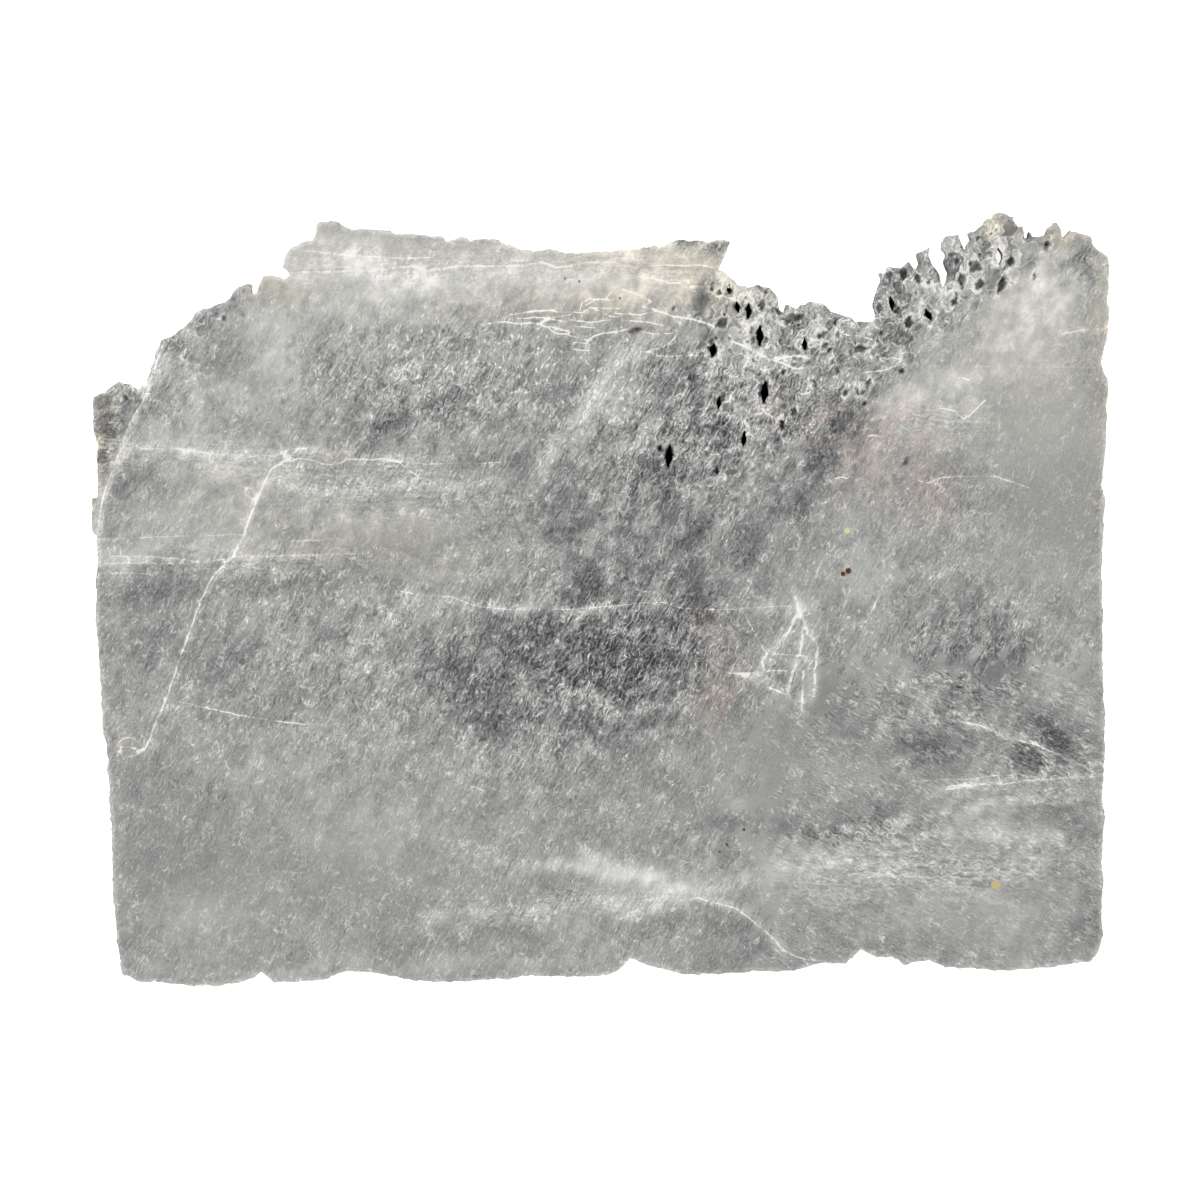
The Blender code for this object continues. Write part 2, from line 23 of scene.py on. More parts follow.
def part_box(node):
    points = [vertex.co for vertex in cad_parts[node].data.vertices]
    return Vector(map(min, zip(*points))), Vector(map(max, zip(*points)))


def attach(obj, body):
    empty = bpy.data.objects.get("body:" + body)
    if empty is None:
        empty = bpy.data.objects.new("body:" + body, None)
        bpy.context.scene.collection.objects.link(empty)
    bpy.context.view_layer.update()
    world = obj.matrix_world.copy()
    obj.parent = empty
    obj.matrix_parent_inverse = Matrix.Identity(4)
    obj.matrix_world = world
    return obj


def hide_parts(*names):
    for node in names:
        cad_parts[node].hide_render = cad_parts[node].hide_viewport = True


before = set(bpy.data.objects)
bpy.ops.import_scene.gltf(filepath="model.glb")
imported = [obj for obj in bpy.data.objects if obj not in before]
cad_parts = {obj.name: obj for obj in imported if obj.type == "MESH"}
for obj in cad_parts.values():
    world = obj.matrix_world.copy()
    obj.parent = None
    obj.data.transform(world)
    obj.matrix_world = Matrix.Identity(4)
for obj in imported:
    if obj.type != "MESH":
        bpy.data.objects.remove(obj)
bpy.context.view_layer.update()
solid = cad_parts["selenite_slab"]
low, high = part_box("selenite_slab")
MM = 0.001
HALF_LONG = high.x / MM
HALF_WIDE = high.y / MM
TOP = high.z / MM
print(f"slab {2 * HALF_LONG:.1f} x {2 * HALF_WIDE:.1f} x {TOP:.1f} mm")

# %% [markdown]
# ## The edge of the plate
#
# The plate broke along its cleavage, so the left, right and lower sides are nearly straight and
# the upper side is ragged. A curve tool would round its small corners off. A plain list of
# corners in millimetres keeps them, and a loop adds the finer raggedness between them.

# %% Corners of the outline, clockwise from the left end of the upper side
TONGUE_TOP = [
    (-152.4, 60.8), (-150.6, 61.9), (-149.1, 62.1), (-147.3, 64.3), (-146.1, 65.2), (-144.6, 66),
    (-143.4, 65.2), (-141, 64.5), (-139.2, 63.3), (-137.4, 64.6), (-136.5, 64.2), (-135.9, 67),
    (-135, 69.5), (-134.1, 72.5), (-133.2, 75.1), (-132, 77.8), (-130.5, 78.8), (-127.5, 79.5),
]
STEPPED_CORNER = [
    (-126.3, 81), (-125.1, 81.6), (-123, 83.8), (-121.8, 85.8), (-119.4, 87.8), (-116.1, 88.3),
    (-112.8, 89.5), (-111, 90.8), (-110.4, 92.5), (-109.2, 93.8), (-107.7, 94.5), (-105.9, 95),
    (-104.4, 94.3), (-104.4, 92), (-103.2, 92), (-102.3, 94.6), (-101.4, 97), (-100.2, 97.6),
    (-96, 96.8), (-94.5, 96.5), (-93.6, 97.5), (-95.4, 99.9), (-94.8, 102.1), (-93.9, 104.2),
    (-92.7, 105.5), (-91.2, 106.3), (-87.9, 108), (-86.4, 108.1), (-85.2, 111.8), (-84.3, 113.4),
    (-80.7, 114), (-78, 113.5), (-76.8, 112.2),
]
TOP_PLATE_EDGE = [
    (-74.4, 111.5), (-69, 111.3), (-63.6, 110.8), (-61.2, 109.8), (-52.8, 109.6), (-47.4, 109),
    (-45.9, 107.5), (-42, 108.8), (-40.2, 108.9), (-39, 108), (-34.5, 108.6), (-30.3, 108.3),
    (-28.2, 106.6), (-25.8, 106.3), (-23.7, 104.8), (-19.5, 105), (-15, 105.1), (-10.2, 104),
    (-5.4, 104.2), (0, 104.5), (6, 105.1), (12, 105.5), (16.2, 106.5), (18, 106), (20.4, 107),
    (22.8, 107.8), (25.2, 108), (26.7, 107.5), (28.5, 108), (32.4, 107.4), (37.2, 108.3),
    (39.3, 107.5), (38.4, 104.8), (37.5, 102.1), (35.7, 99),
]
BAY = [
    (38.1, 98.2), (40.2, 96.1), (42.3, 94.5), (44.4, 94), (47.7, 95), (49.2, 94.2), (51, 93.5),
    (52.2, 92.2), (53.4, 91.6), (53.7, 89.5), (54, 86.8), (55.2, 86.2), (55.8, 88.5), (56.7, 88.6),
    (59.1, 87.1), (60, 88.6), (63.6, 89.4), (66.3, 89.2), (68.1, 88.3), (69.3, 86.5), (72, 86),
    (74.7, 84.9), (75.6, 85.2), (76.8, 83.8), (79.8, 83.5), (81.9, 83.7),
]
HORN_LEFT = [
    (82.8, 85), (82.2, 86.8), (81.8, 89), (82.8, 91.6), (83.7, 94.6), (84, 96.8), (83.5, 98),
    (84.3, 98.5), (85.2, 98), (85.8, 99.8), (87, 100.3), (89.7, 99.5), (90.9, 100.5),
    (92.7, 101.4), (94.8, 99.1), (95.5, 100.6), (95.1, 104), (96, 104.7), (99.6, 106.3),
    (98.7, 104.2), (99.6, 101.5), (101.4, 98.5), (102.3, 96.1), (103.2, 93.8), (104.1, 95.8),
    (104.4, 98.2), (103, 101.2), (103.8, 103.6), (102.3, 105), (102.6, 107.5), (103.8, 109.2),
    (105.3, 109.8), (108, 109.6), (108.6, 107), (109.5, 105.1), (110.1, 106.6), (111, 108.1),
    (110.4, 110.2), (111.6, 110.8), (112.5, 110.5),
]
HORN_TOP = [
    (114.6, 112.6), (116.1, 114.1), (117.3, 114.5), (118.5, 115.8), (120.3, 116.4), (121.8, 116.2),
    (123, 115.3), (124.2, 115), (124.8, 113.8), (125.7, 112.3), (127, 112.3), (127.5, 110.8),
    (127.8, 108.8), (128.4, 109), (128.7, 110.7), (129.6, 110.2), (129.9, 109.2), (133.5, 109.3),
    (134.4, 111.5), (136.2, 113.5), (137.4, 113.5), (138.3, 112), (138.9, 108.8), (139.8, 109.6),
    (141, 110.5), (143.1, 110.4), (147.3, 109), (147.6, 107), (149.4, 104.8), (150.9, 104.4),
    (152.4, 103),
]
RIGHT_EDGE = [
    (153, 100), (153, 95), (152.4, 90.8), (153, 86.8), (152.5, 80), (151.8, 75.1),
    (150.9, 71.5), (151.2, 68.5), (152.7, 66.5), (153, 62.8), (152.4, 58.6), (152.1, 47.9),
    (151.5, 38.9), (150.9, 34.6), (151.8, 30.8), (151.2, 19.6), (150.9, 8.5), (151.2, -4),
    (151.2, -18.4), (151.8, -34.6), (151.8, -48.1), (150.9, -59.5), (151.8, -65.5), (150.9, -78.8),
    (151.5, -85.6), (150.9, -91.3), (151.2, -101), (150, -105.5), (147.9, -108.8),
]
BOTTOM_EDGE = [
    (141.6, -109.6), (133.8, -110.8), (121.5, -111.8), (112.5, -110.8), (103.8, -110.5),
    (99, -108.5), (95.4, -108.8), (91.2, -109.6), (87.9, -107.5), (83.1, -107.5), (78.3, -105.1),
    (75.9, -107.5), (73.8, -109.6), (66.9, -109.3), (58.2, -111.8), (46.2, -111.8), (38.7, -112.6),
    (25.8, -113), (14.7, -110), (9, -108.1), (5.4, -111.8), (3, -113), (-8.7, -113.5),
    (-23.4, -113), (-24.6, -113.8), (-44.7, -115), (-54, -114.8), (-64.2, -113), (-74.7, -111.5),
    (-78.9, -112.6), (-81.9, -114.1), (-91.2, -115), (-97.8, -115), (-101.7, -112),
    (-105.3, -114.5), (-109.5, -115.3), (-115.5, -116.2), (-117.3, -115.6), (-121.8, -116.4),
    (-130.8, -115), (-138.3, -115), (-143.7, -112.6),
]
LEFT_EDGE = [
    (-144.3, -108.5), (-145.2, -102.5), (-146.4, -88.3), (-146.7, -76), (-147.6, -54.8),
    (-148.5, -44.9), (-149.7, -37.4), (-150.3, -24.1), (-151.2, -9.4), (-151.8, 5.8),
    (-150.9, 13.3), (-151.5, 19.1), (-153, 21.1), (-152.7, 30.4), (-151.2, 30.8), (-151.5, 41.9),
    (-151.2, 46.9), (-152.4, 50.5), (-152.7, 56.9),
]
OUTLINE = (
    TONGUE_TOP + STEPPED_CORNER + TOP_PLATE_EDGE + BAY + HORN_LEFT + HORN_TOP
    + RIGHT_EDGE + BOTTOM_EDGE + LEFT_EDGE
)

# %% [markdown]
# ## Rhombic openings
#
# Water widened the crystal's flaws into lens-shaped openings that all point the same way. The
# large ones go right through, and the pits beside them are blind. Each is a row of numbers, and
# its rim, its walls, its painted shade and its pale lip all follow from that row.

# %% Holes: middle, half length, half width, lean in degrees. Pits: the same, then the depth
HOLES = [
    (38.7, 93.2, 1.8, 0.7, 0),
    (41.3, 87.8, 2.0, 0.8, -12),
    (44.6, 86.7, 2.7, 1.0, 0),
    (48.0, 79.2, 3.5, 1.2, 0),
    (33.9, 74.9, 2.4, 1.2, 6),
    (61.5, 76.7, 2.1, 0.8, 0),
    (49.4, 62.3, 4.0, 1.3, 4),
    (35.7, 59.0, 2.3, 0.8, 3),
    (20.7, 43.1, 4.0, 1.2, 4),
    (43.2, 48.2, 2.6, 0.9, 4),
    (87.6, 89.0, 2.4, 0.9, -9),
    (98.6, 85.4, 2.3, 1.0, -26),
    (119.8, 103.0, 2.9, 1.2, -6),
]
PITS = [
    (91.2, 97.7, 2.4, 1.3, 4, 2.0),
    (108.6, 95.9, 3.2, 1.2, -4, 2.5),
    (95.4, 96.4, 2.2, 1.1, -20, 2.5),
    (112.6, 100.0, 2.6, 1.8, -60, 2.2),
    (114.0, 94.6, 2.2, 1.3, 15, 2.4),
    (120.6, 94.6, 3.9, 1.1, 22, 3.0),
    (123.2, 101.4, 2.2, 1.3, 20, 2.6),
    (134.1, 106.2, 2.4, 0.8, 35, 2.2),
    (86.6, 97.6, 1.6, 1.2, 0, 1.8),
    (92.8, 83.2, 2.6, 1.3, 10, 2.6),
    (106.6, 89.6, 2.2, 1.0, 30, 1.8),
    (57.6, 84.4, 4.2, 1.4, 84, 1.6),
    (48.6, 88.4, 2.0, 1.2, 10, 1.8),
    (36.6, 83.0, 2.6, 1.5, 60, 1.6),
    (66.6, 79.4, 2.2, 1.2, 60, 1.6),
    (78.0, 75.2, 4.4, 1.1, 74, 1.4),
    (90.9, 68.9, 1.6, 0.8, 0, 2.6),
    (54.6, 52.4, 1.8, 0.7, 0, 2.2),
    (18.0, 45.2, 1.7, 0.8, 0, 2.4),
    (35.1, 38.3, 1.5, 0.6, 0, 2.0),
    (28.0, 66.5, 2.6, 1.0, 75, 1.2),
    (10.4, 80.8, 3.2, 0.9, 80, 1.0),
]

# %% [markdown]
# ## Cleavage cracks
#
# Where the crystal began to part along a plane, the gap mirrors the light and shows as a white
# line. Each one is drawn as a few corners. They become edges of the mesh, so a mask can
# follow them exactly, however thin they are.

# %% White lines: half width in millimetres, whiteness, corners
CRACKS = [
    (0.5, 0.65, [(-92.7, 42.4), (-96.3, 40.6), (-98.7, 39.1), (-100.8, 35.2), (-103.2, 29.2),
        (-105.6, 23.2), (-107.1, 18.8), (-110.1, 13), (-113.4, 9.8), (-116.4, 6.5),
        (-119.1, 1.1), (-121.2, -4), (-123, -9.2), (-126, -17.2), (-128.1, -23.6),
        (-129.6, -28.3), (-131.7, -33.4), (-133.5, -37.4), (-135.3, -42.1)]),
    (0.4, 0.7, [(-135.3, -42.1), (-136.5, -44.9), (-138.9, -45.1), (-141.3, -44.2),
        (-143.7, -44.5)]),
    (0.25, 0.5, [(-136.8, -45.2), (-139.2, -46.9), (-142.2, -47.1), (-144.5, -45.8)]),
    (0.25, 0.6, [(-144.9, -43.4), (-143.1, -41.6), (-140.4, -41.5), (-138.6, -42.9)]),
    (0.3, 0.3, [(-150.9, 47.2), (-143.7, 46.9), (-137.7, 45.4), (-130.2, 45.1), (-123, 45.1),
        (-116.7, 43.6), (-107.1, 42.4), (-99.6, 43.4), (-96.3, 42.4), (-93, 43.6), (-90, 45.1),
        (-85.2, 45.8)]),
    (0.2, 0.95, [(-92.7, 41.5), (-90.3, 42.4), (-86.7, 41.9), (-83.1, 40.6), (-80.1, 40.4),
        (-77.7, 40.9), (-75.9, 42.1), (-72.6, 42.1), (-67.8, 41.9), (-65.1, 42.4), (-63, 41.5),
        (-60, 40.9), (-57.6, 38.9), (-54.9, 37)]),
    (0.16, 0.45, [(-63, 42.1), (-58.5, 41.5), (-52.5, 40.6), (-45, 40.9), (-36, 40.9),
        (-27, 41.2), (-18, 41.9)]),
    (0.3, 0.6, [(-96, 44.2), (-93, 45.1), (-90, 45.4), (-88.5, 44.9)]),
    (0.16, 0.6, [(-67.2, 71.5), (-64.5, 68.5), (-61.2, 66.1), (-59.7, 68), (-57.9, 70.6),
        (-55.8, 72.5)]),
    (0.2, 0.35, [(-150, 18.1), (-142.5, 18.4), (-132, 18.8), (-120, 19.1), (-107.1, 19.6)]),
    (0.25, 0.35, [(-147.3, 13), (-139.5, 13), (-132, 12.8), (-123, 11.8), (-119.1, 11.2)]),
    (0.2, 0.4, [(-150.6, 10.7), (-142.5, 10.9), (-135, 10.9), (-127.5, 10.7), (-120, 10.9),
        (-115.5, 11.8), (-108, 13), (-99, 13), (-90, 13.3), (-83.7, 13.3), (-76.5, 13.7),
        (-70.2, 13.7)]),
    (0.16, 0.45, [(-151.8, 7.9), (-145.5, 7.9), (-139.5, 7.9), (-135, 7.6)]),
    (0.18, 0.4, [(-92.4, 17.6), (-88.5, 17.6), (-84, 17.8)]),
    (0.45, 0.5, [(-131.1, 76.3), (-132.6, 72.8), (-134.1, 68.2), (-135.3, 63.4), (-137.1, 59.8),
        (-139.2, 56.5), (-141.3, 52.6), (-142.5, 49.6), (-143.7, 46.4), (-144.9, 43),
        (-146.1, 39.8), (-147.6, 35.9), (-148.8, 32.2), (-149.7, 27.8), (-150.6, 23.2),
        (-150.9, 17.8)]),
    (0.18, 0.5, [(-128.4, 68.2), (-129.6, 64.3), (-132, 62.2), (-135.6, 61.6)]),
    (0.3, 0.8, [(-118.2, -32.5), (-114, -33.4), (-109.2, -34.6), (-105, -35.2),
        (-100.2, -35.9)]),
    (0.25, 0.75, [(-98.4, -36.4), (-94.5, -36.8), (-88.5, -37.4), (-83.1, -37.6)]),
    (0.14, 0.4, [(-142.5, -27.1), (-134, -28.9), (-126, -30.7), (-118.2, -32.5)]),
    (0.15, 0.35, [(-129, -57.1), (-126, -56.9), (-122.7, -56.9)]),
    (0.15, 0.35, [(-97.2, -81.5), (-93, -81.8), (-88.8, -82)]),
    (0.18, 0.6, [(-60, 2.5), (-56.4, 1.9), (-52.2, 1.1), (-48, 1.1), (-44.7, 0.8), (-42, -0.1),
        (-39.3, -1.3), (-36, -2.2), (-32.4, -2.5), (-27.6, -2.9), (-23.4, -2.9), (-16.5, -2.9),
        (-8.1, -2.9), (-3, -2.5), (4.2, -1.9), (12, -1.1), (18.3, -0.8), (20.4, -1.3),
        (22.5, -2.2), (28.5, -2.9), (34.5, -3.1), (40.5, -2.9), (46.5, -2.5), (56.4, -1.9)]),
    (0.3, 0.8, [(11.1, 2.9), (13.2, 2.5), (15.3, 2.5)]),
    (0.6, 0.5, [(-93.9, 98), (-90, 98.2), (-84, 98.2), (-76.5, 98.5), (-69, 98.8),
        (-61.5, 99.5), (-56.4, 100), (-54.6, 99.5), (-52.8, 98.5), (-48, 99.1), (-41.7, 100),
        (-35.1, 100), (-28.2, 100), (-22.8, 100.3), (-18.3, 101.2), (-15.9, 100.6),
        (-13.5, 99.5), (-9, 100), (-4.8, 101), (0, 101.2), (4.8, 101.2)]),
    (0.35, 0.6, [(15, 100), (19.5, 100.3), (24, 100), (28.5, 100.3), (31.8, 100), (35.4, 99.5)]),
    (0.2, 0.45, [(-90, 104.8), (-84, 104.2), (-76.5, 103.3), (-69, 102.8), (-60, 102.5),
        (-51, 102.5)]),
    (0.3, 0.9, [(-27, 85.4), (-19.5, 86.4), (-13.5, 86.9)]),
    (0.3, 0.85, [(-25.5, 84.2), (-20, 84.6), (-15, 84.5), (-9, 85.4)]),
    (0.3, 0.8, [(-15, 81.9), (-11, 80.8), (-7.5, 80)]),
    (0.3, 0.9, [(-9, 83.9), (-3, 83.1), (3, 83.9)]),
    (0.3, 0.85, [(-7.5, 81.9), (-1.5, 81.5)]),
    (0.28, 0.8, [(-9, 79.1), (-3, 77.9)]),
    (0.25, 0.8, [(-8.4, 77.1), (-3.9, 76.8)]),
    (0.3, 0.8, [(-6, 86.9), (-5.4, 89.1), (-3, 90.2), (3, 89.9)]),
    (0.25, 0.75, [(-3, 87.6), (6, 87.2)]),
    (0.3, 0.85, [(4.5, 85.8), (12, 85.4), (16.5, 86.4)]),
    (0.3, 0.8, [(6.6, 83.9), (15, 83.1), (19, 82.2)]),
    (0.3, 0.8, [(11.1, 91.4), (15.6, 89.3), (12.6, 87.8), (17, 87)]),
    (0.3, 0.7, [(10, 81.2), (16, 79.6), (22, 79.9)]),
    (0.35, 0.95, [(-33.6, 82.6), (-30.9, 83.2), (-27.9, 83.2)]),
    (0.4, 1.0, [(-27, 83), (-24, 82.6), (-21, 83), (-18, 82.6)]),
    (0.25, 0.85, [(-24.3, 85.6), (-21, 86.5), (-16.5, 86.8), (-12, 86.2), (-8.4, 86.2),
        (-5.1, 86)]),
    (0.4, 0.95, [(-17.7, 83.2), (-15, 84.1), (-12.6, 83.8), (-10.2, 83.2)]),
    (0.28, 0.9, [(-17.7, 82.3), (-15.3, 81.5), (-13.8, 80), (-12, 79.6), (-9.6, 79.6)]),
    (0.28, 0.85, [(-8.1, 75.1), (-6, 74.8), (-3.3, 74.8)]),
    (0.4, 0.95, [(-3.9, 77.5), (-1.8, 79), (0, 79.6), (3.6, 80.2), (7.2, 80.8), (9.6, 81.8)]),
    (0.22, 0.75, [(-5.1, 86), (-3, 87.5), (0, 86.5), (3, 85), (5.4, 84.8), (9, 86)]),
    (0.2, 0.6, [(-4.2, 88.3), (-1.2, 89.8), (1.5, 90.1), (3.6, 92.2)]),
    (0.5, 0.95, [(17.1, 86.5), (19.5, 86), (21.9, 85), (25.2, 84.5), (28.8, 83.8), (31.8, 83),
        (34.2, 81.8)]),
    (0.25, 0.7, [(13.5, 74.2), (16.2, 75.1), (18.9, 75.8), (21.3, 77.2), (22.8, 79)]),
    (0.22, 0.75, [(14.1, 74.2), (17.7, 73), (21.6, 73), (27, 73.3), (31.8, 73), (36.6, 74.2)]),
    (0.3, 0.7, [(6.6, 93.1), (9.9, 92), (12.3, 91), (15, 89.8)]),
    (0.35, 0.8, [(12, 96.8), (16.5, 96.1), (20.4, 95), (24, 95)]),
    (0.9, 1.0, [(27.3, 93.8), (29.1, 93.8), (30.9, 93.8)]),
    (0.3, 0.8, [(42.6, 80.5), (44.4, 82.3), (46.8, 83.5), (48, 83)]),
    (0.5, 0.9, [(34.8, 90.8), (36.6, 91.3), (38.4, 90.5), (40.5, 90.5)]),
    (0.35, 0.85, [(73.2, 79.6), (75, 79.3), (77.1, 79.3), (79.2, 78.8), (81.9, 78.1)]),
    (0.7, 0.9, [(39.9, 77.3), (43.5, 76), (47.4, 74), (50.9, 71.9), (54.3, 72.5), (58.4, 73.2),
        (63.2, 72.5)]),
    (0.5, 0.7, [(50.9, 71.9), (54.3, 71), (59, 69.2), (63.8, 69.8)]),
    (0.3, 0.7, [(63.2, 72.5), (65.5, 75), (67, 78.2), (66, 80)]),
    (0.35, 0.8, [(68.5, 84.6), (72, 83.6), (76, 84.2), (80, 82.5), (84, 81.4)]),
    (0.3, 0.7, [(76, 69.5), (80, 68.2), (85.5, 68.8), (90, 70.5)]),
    (0.2, 0.12, [(90, 70.5), (106, 69.9), (128, 70), (150, 69.6)]),
    (0.25, 0.7, [(49.8, 55.9), (52.5, 54.1), (54, 52.6), (56.4, 52.4)]),
    (0.3, 0.8, [(102.3, 57.4), (104.4, 57.1), (106.5, 56.5), (108.9, 54.4), (110.7, 55),
        (113.1, 57.4), (115.8, 59.8)]),
    (0.35, 0.8, [(107.1, 66.5), (108.9, 66.5), (110.7, 65.8)]),
    (0.2, 0.6, [(94.2, 36.4), (96.3, 35.5), (98.4, 34.9), (101.4, 36.4), (106.5, 37),
        (112.5, 37), (118.5, 37), (123, 35.5), (128.7, 33.4)]),
    (0.2, 0.6, [(139.8, 80), (142.5, 80.5), (145.5, 80.8)]),
    (0.35, 0.95, [(80.1, 49), (81.6, 49.4), (84.3, 49)]),
    (0.35, 0.95, [(70.8, 36.4), (72.3, 36.8), (74.1, 36.4)]),
    (0.3, 0.9, [(65.7, 28.9), (67.2, 28.9), (68.4, 29.2)]),
    (0.25, 0.8, [(33, 43.6), (34.8, 43.6), (36, 43.6)]),
    (0.9, 0.6, [(58.5, 0.8), (59.1, -1.9), (60, -5)]),
    (0.7, 0.55, [(59.4, -3.8), (57.6, -7.3), (56.4, -10), (53.4, -13), (50.1, -15.8),
        (48.6, -18.8), (49.2, -22.3), (46.5, -23.2), (42.9, -22.9)]),
    (0.3, 0.5, [(43.2, -4), (45.3, -7.9), (47.1, -11.2), (49.2, -15.4)]),
    (0.7, 0.5, [(60, -4), (61.5, -7.3), (62.4, -10.3), (64.5, -12.4), (65.4, -15.1),
        (64.5, -20.6), (64.5, -25.3), (64.2, -28.9)]),
    (0.4, 0.5, [(60.9, -8.5), (60.3, -12.8), (60, -16.6)]),
    (0.7, 0.5, [(58.8, -19.3), (57.6, -22.9), (56.4, -27.1), (56.1, -29.5)]),
    (0.6, 0.5, [(60.9, -21.1), (60.9, -25.3), (60.6, -30.1), (60.6, -33.8)]),
    (0.14, 0.6, [(49.8, -16.3), (54, -16.6), (57.6, -16.6), (61.2, -16.9)]),
    (0.3, 0.7, [(38.4, -22.1), (42.6, -22.1), (47.1, -21.8), (51, -21.4), (55.8, -21.4)]),
    (0.6, 0.5, [(51, -26.6), (54, -27.8), (57, -28.9)]),
    (0.35, 0.35, [(49.5, 13.9), (47.4, 9.4), (45, 4.6), (42.9, -0.1)]),
    (0.14, 0.6, [(66.6, 11.8), (65.4, 8.8), (63.6, 5), (62.7, 2.5)]),
    (0.14, 0.7, [(84, 1.6), (82.8, -0.8), (81, -4.3)]),
    (0.14, 0.4, [(75, 2.9), (73.8, -0.4), (72, -5)]),
    (0.14, 0.5, [(69.9, -1.9), (68.4, -6.8), (67.8, -12.2)]),
    (0.35, 0.55, [(109.8, -36.8), (114.3, -37.9), (119.4, -40), (124.8, -42.1), (130.5, -43.6),
        (136.5, -45.8), (140.1, -47.2)]),
    (0.2, 0.4, [(140.1, -47.2), (144, -49.4), (147.6, -51.4), (151.2, -53.9)]),
    (0.25, 0.5, [(103.8, -57.1), (109.5, -56.2), (115.5, -55.4), (120.9, -55.4), (127.5, -54.4),
        (135, -53.9), (142.5, -53.2), (149.7, -53.2)]),
    (0.16, 0.4, [(91.5, -54.8), (100.5, -54.1), (109.5, -53.9), (117, -52.9), (124.8, -52.4)]),
    (0.3, 0.4, [(104.4, -55.9), (112.5, -55.4), (120, -54.4)]),
    (0.3, 0.7, [(29.4, -89.5), (32.4, -90.5), (36, -91.3), (41.1, -92.8), (44.1, -95),
        (46.2, -96.8), (49.2, -99.1), (51.6, -101.5), (53.7, -103.6)]),
    (0.3, 0.45, [(53.7, -103.6), (55.8, -105.8), (58.8, -107.2), (62.1, -108.1), (67.5, -108.5)]),
    (0.3, 0.35, [(29.4, -89.5), (24, -90.5), (18, -91.6), (12.9, -92.5), (9.6, -93.8),
        (7.2, -95.5)]),
    (0.15, 0.35, [(-106.5, 33.8), (-104.4, 33.1), (-103.2, 31), (-104.4, 30.1), (-106.5, 31.6),
        (-106.5, 33.8)]),
]

# %% [markdown]
# ## Veils, windows and needles
#
# What makes one part of the slab milky and another clear lies inside the crystal and has soft
# limits, so it is painted with soft patches. A row holds a patch's middle, its two half widths,
# its lean in degrees and its strength.

# %% Soft patches
VEILS = [
    (-75, 101, 27, 9, -3, 1.2), (-36, 100, 33, 9, 0, 1.2), (12, 98, 27, 9, 2, 1.2),
    (-60, 88, 40, 6, 0, 0.4), (20, 88, 16, 6, 0, 0.4), (133.5, 94, 15, 14, 0, 1),
    (126, 81, 14, 12, 10, 0.8), (-98, 78, 9, 12, 0, 0.6), (-108, 60, 16, 8, 0, 0.35),
    (102, 64, 16, 10, 20, 0.4), (102, 64, 18, 6, 20, 0.55), (-130.5, 48, 14, 4, -4, 0.5),
    (-106.5, 39, 16, 7, -5, 0.45), (-108, 21, 14, 10, 25, 0.35), (-135, 14, 15, 3, 0, 0.4),
    (-130.5, 67, 5, 5, 0, 0.35), (-1.5, 58, 22, 4, 52, 0.35), (60, -6, 5, 9, 0, 0.35),
    (21, -86, 15, 4, -12, 0.6), (3, -82, 21, 3, -5, 0.4), (60, -79, 18, 4, 12, 0.4),
    (111, -63, 18, 8, 5, 0.35), (138, -23, 8, 9, 0, 0.35), (-69, -111, 78, 3, 0, 0.4),
    (105, 51, 24, 12, 0, 0.3), (135, 54, 15, 27, 0, 0.25), (-122, 26, 26, 16, 0, 0.35),
    (-75, 80, 30, 10, 0, 0.25), (80, 40, 10, 22, -20, 0.3), (82, -86, 28, 10, 0, 0.35),
    (128, -74, 18, 16, 0, 0.4), (-120, -97, 14, 8, 0, 0.4), (-80, -60, 24, 18, 0, 0.2),
    (-76, 23, 16, 8, 0, 0.6), (-50, 22, 14, 8, 0, 0.3), (15, 22, 12, 8, 0, 0.5),
    (38, 83, 9, 7, 0, 0.4), (82, 8, 11, 8, 0, 0.35), (15, -38, 8, 8, 0, 0.35),
    (-64, -68, 24, 9, 0, 0.25), (-120, 60, 10, 14, 0, 0.35), (37, 82, 10, 7, 0, 0.3),
    (48, 37, 18, 7, 0, 0.35), (-8, 23, 10, 7, 0, 0.35), (-52, 7, 10, 7, 0, 0.3),
    (127, 97, 8, 8, 0, 0.4), (128, 68, 10, 8, 0, 0.3), (127, -99, 12, 8, 0, 0.4),
    (-8, -98, 12, 7, 0, 0.35), (-97, 68, 8, 6, 0, 0.25),
]
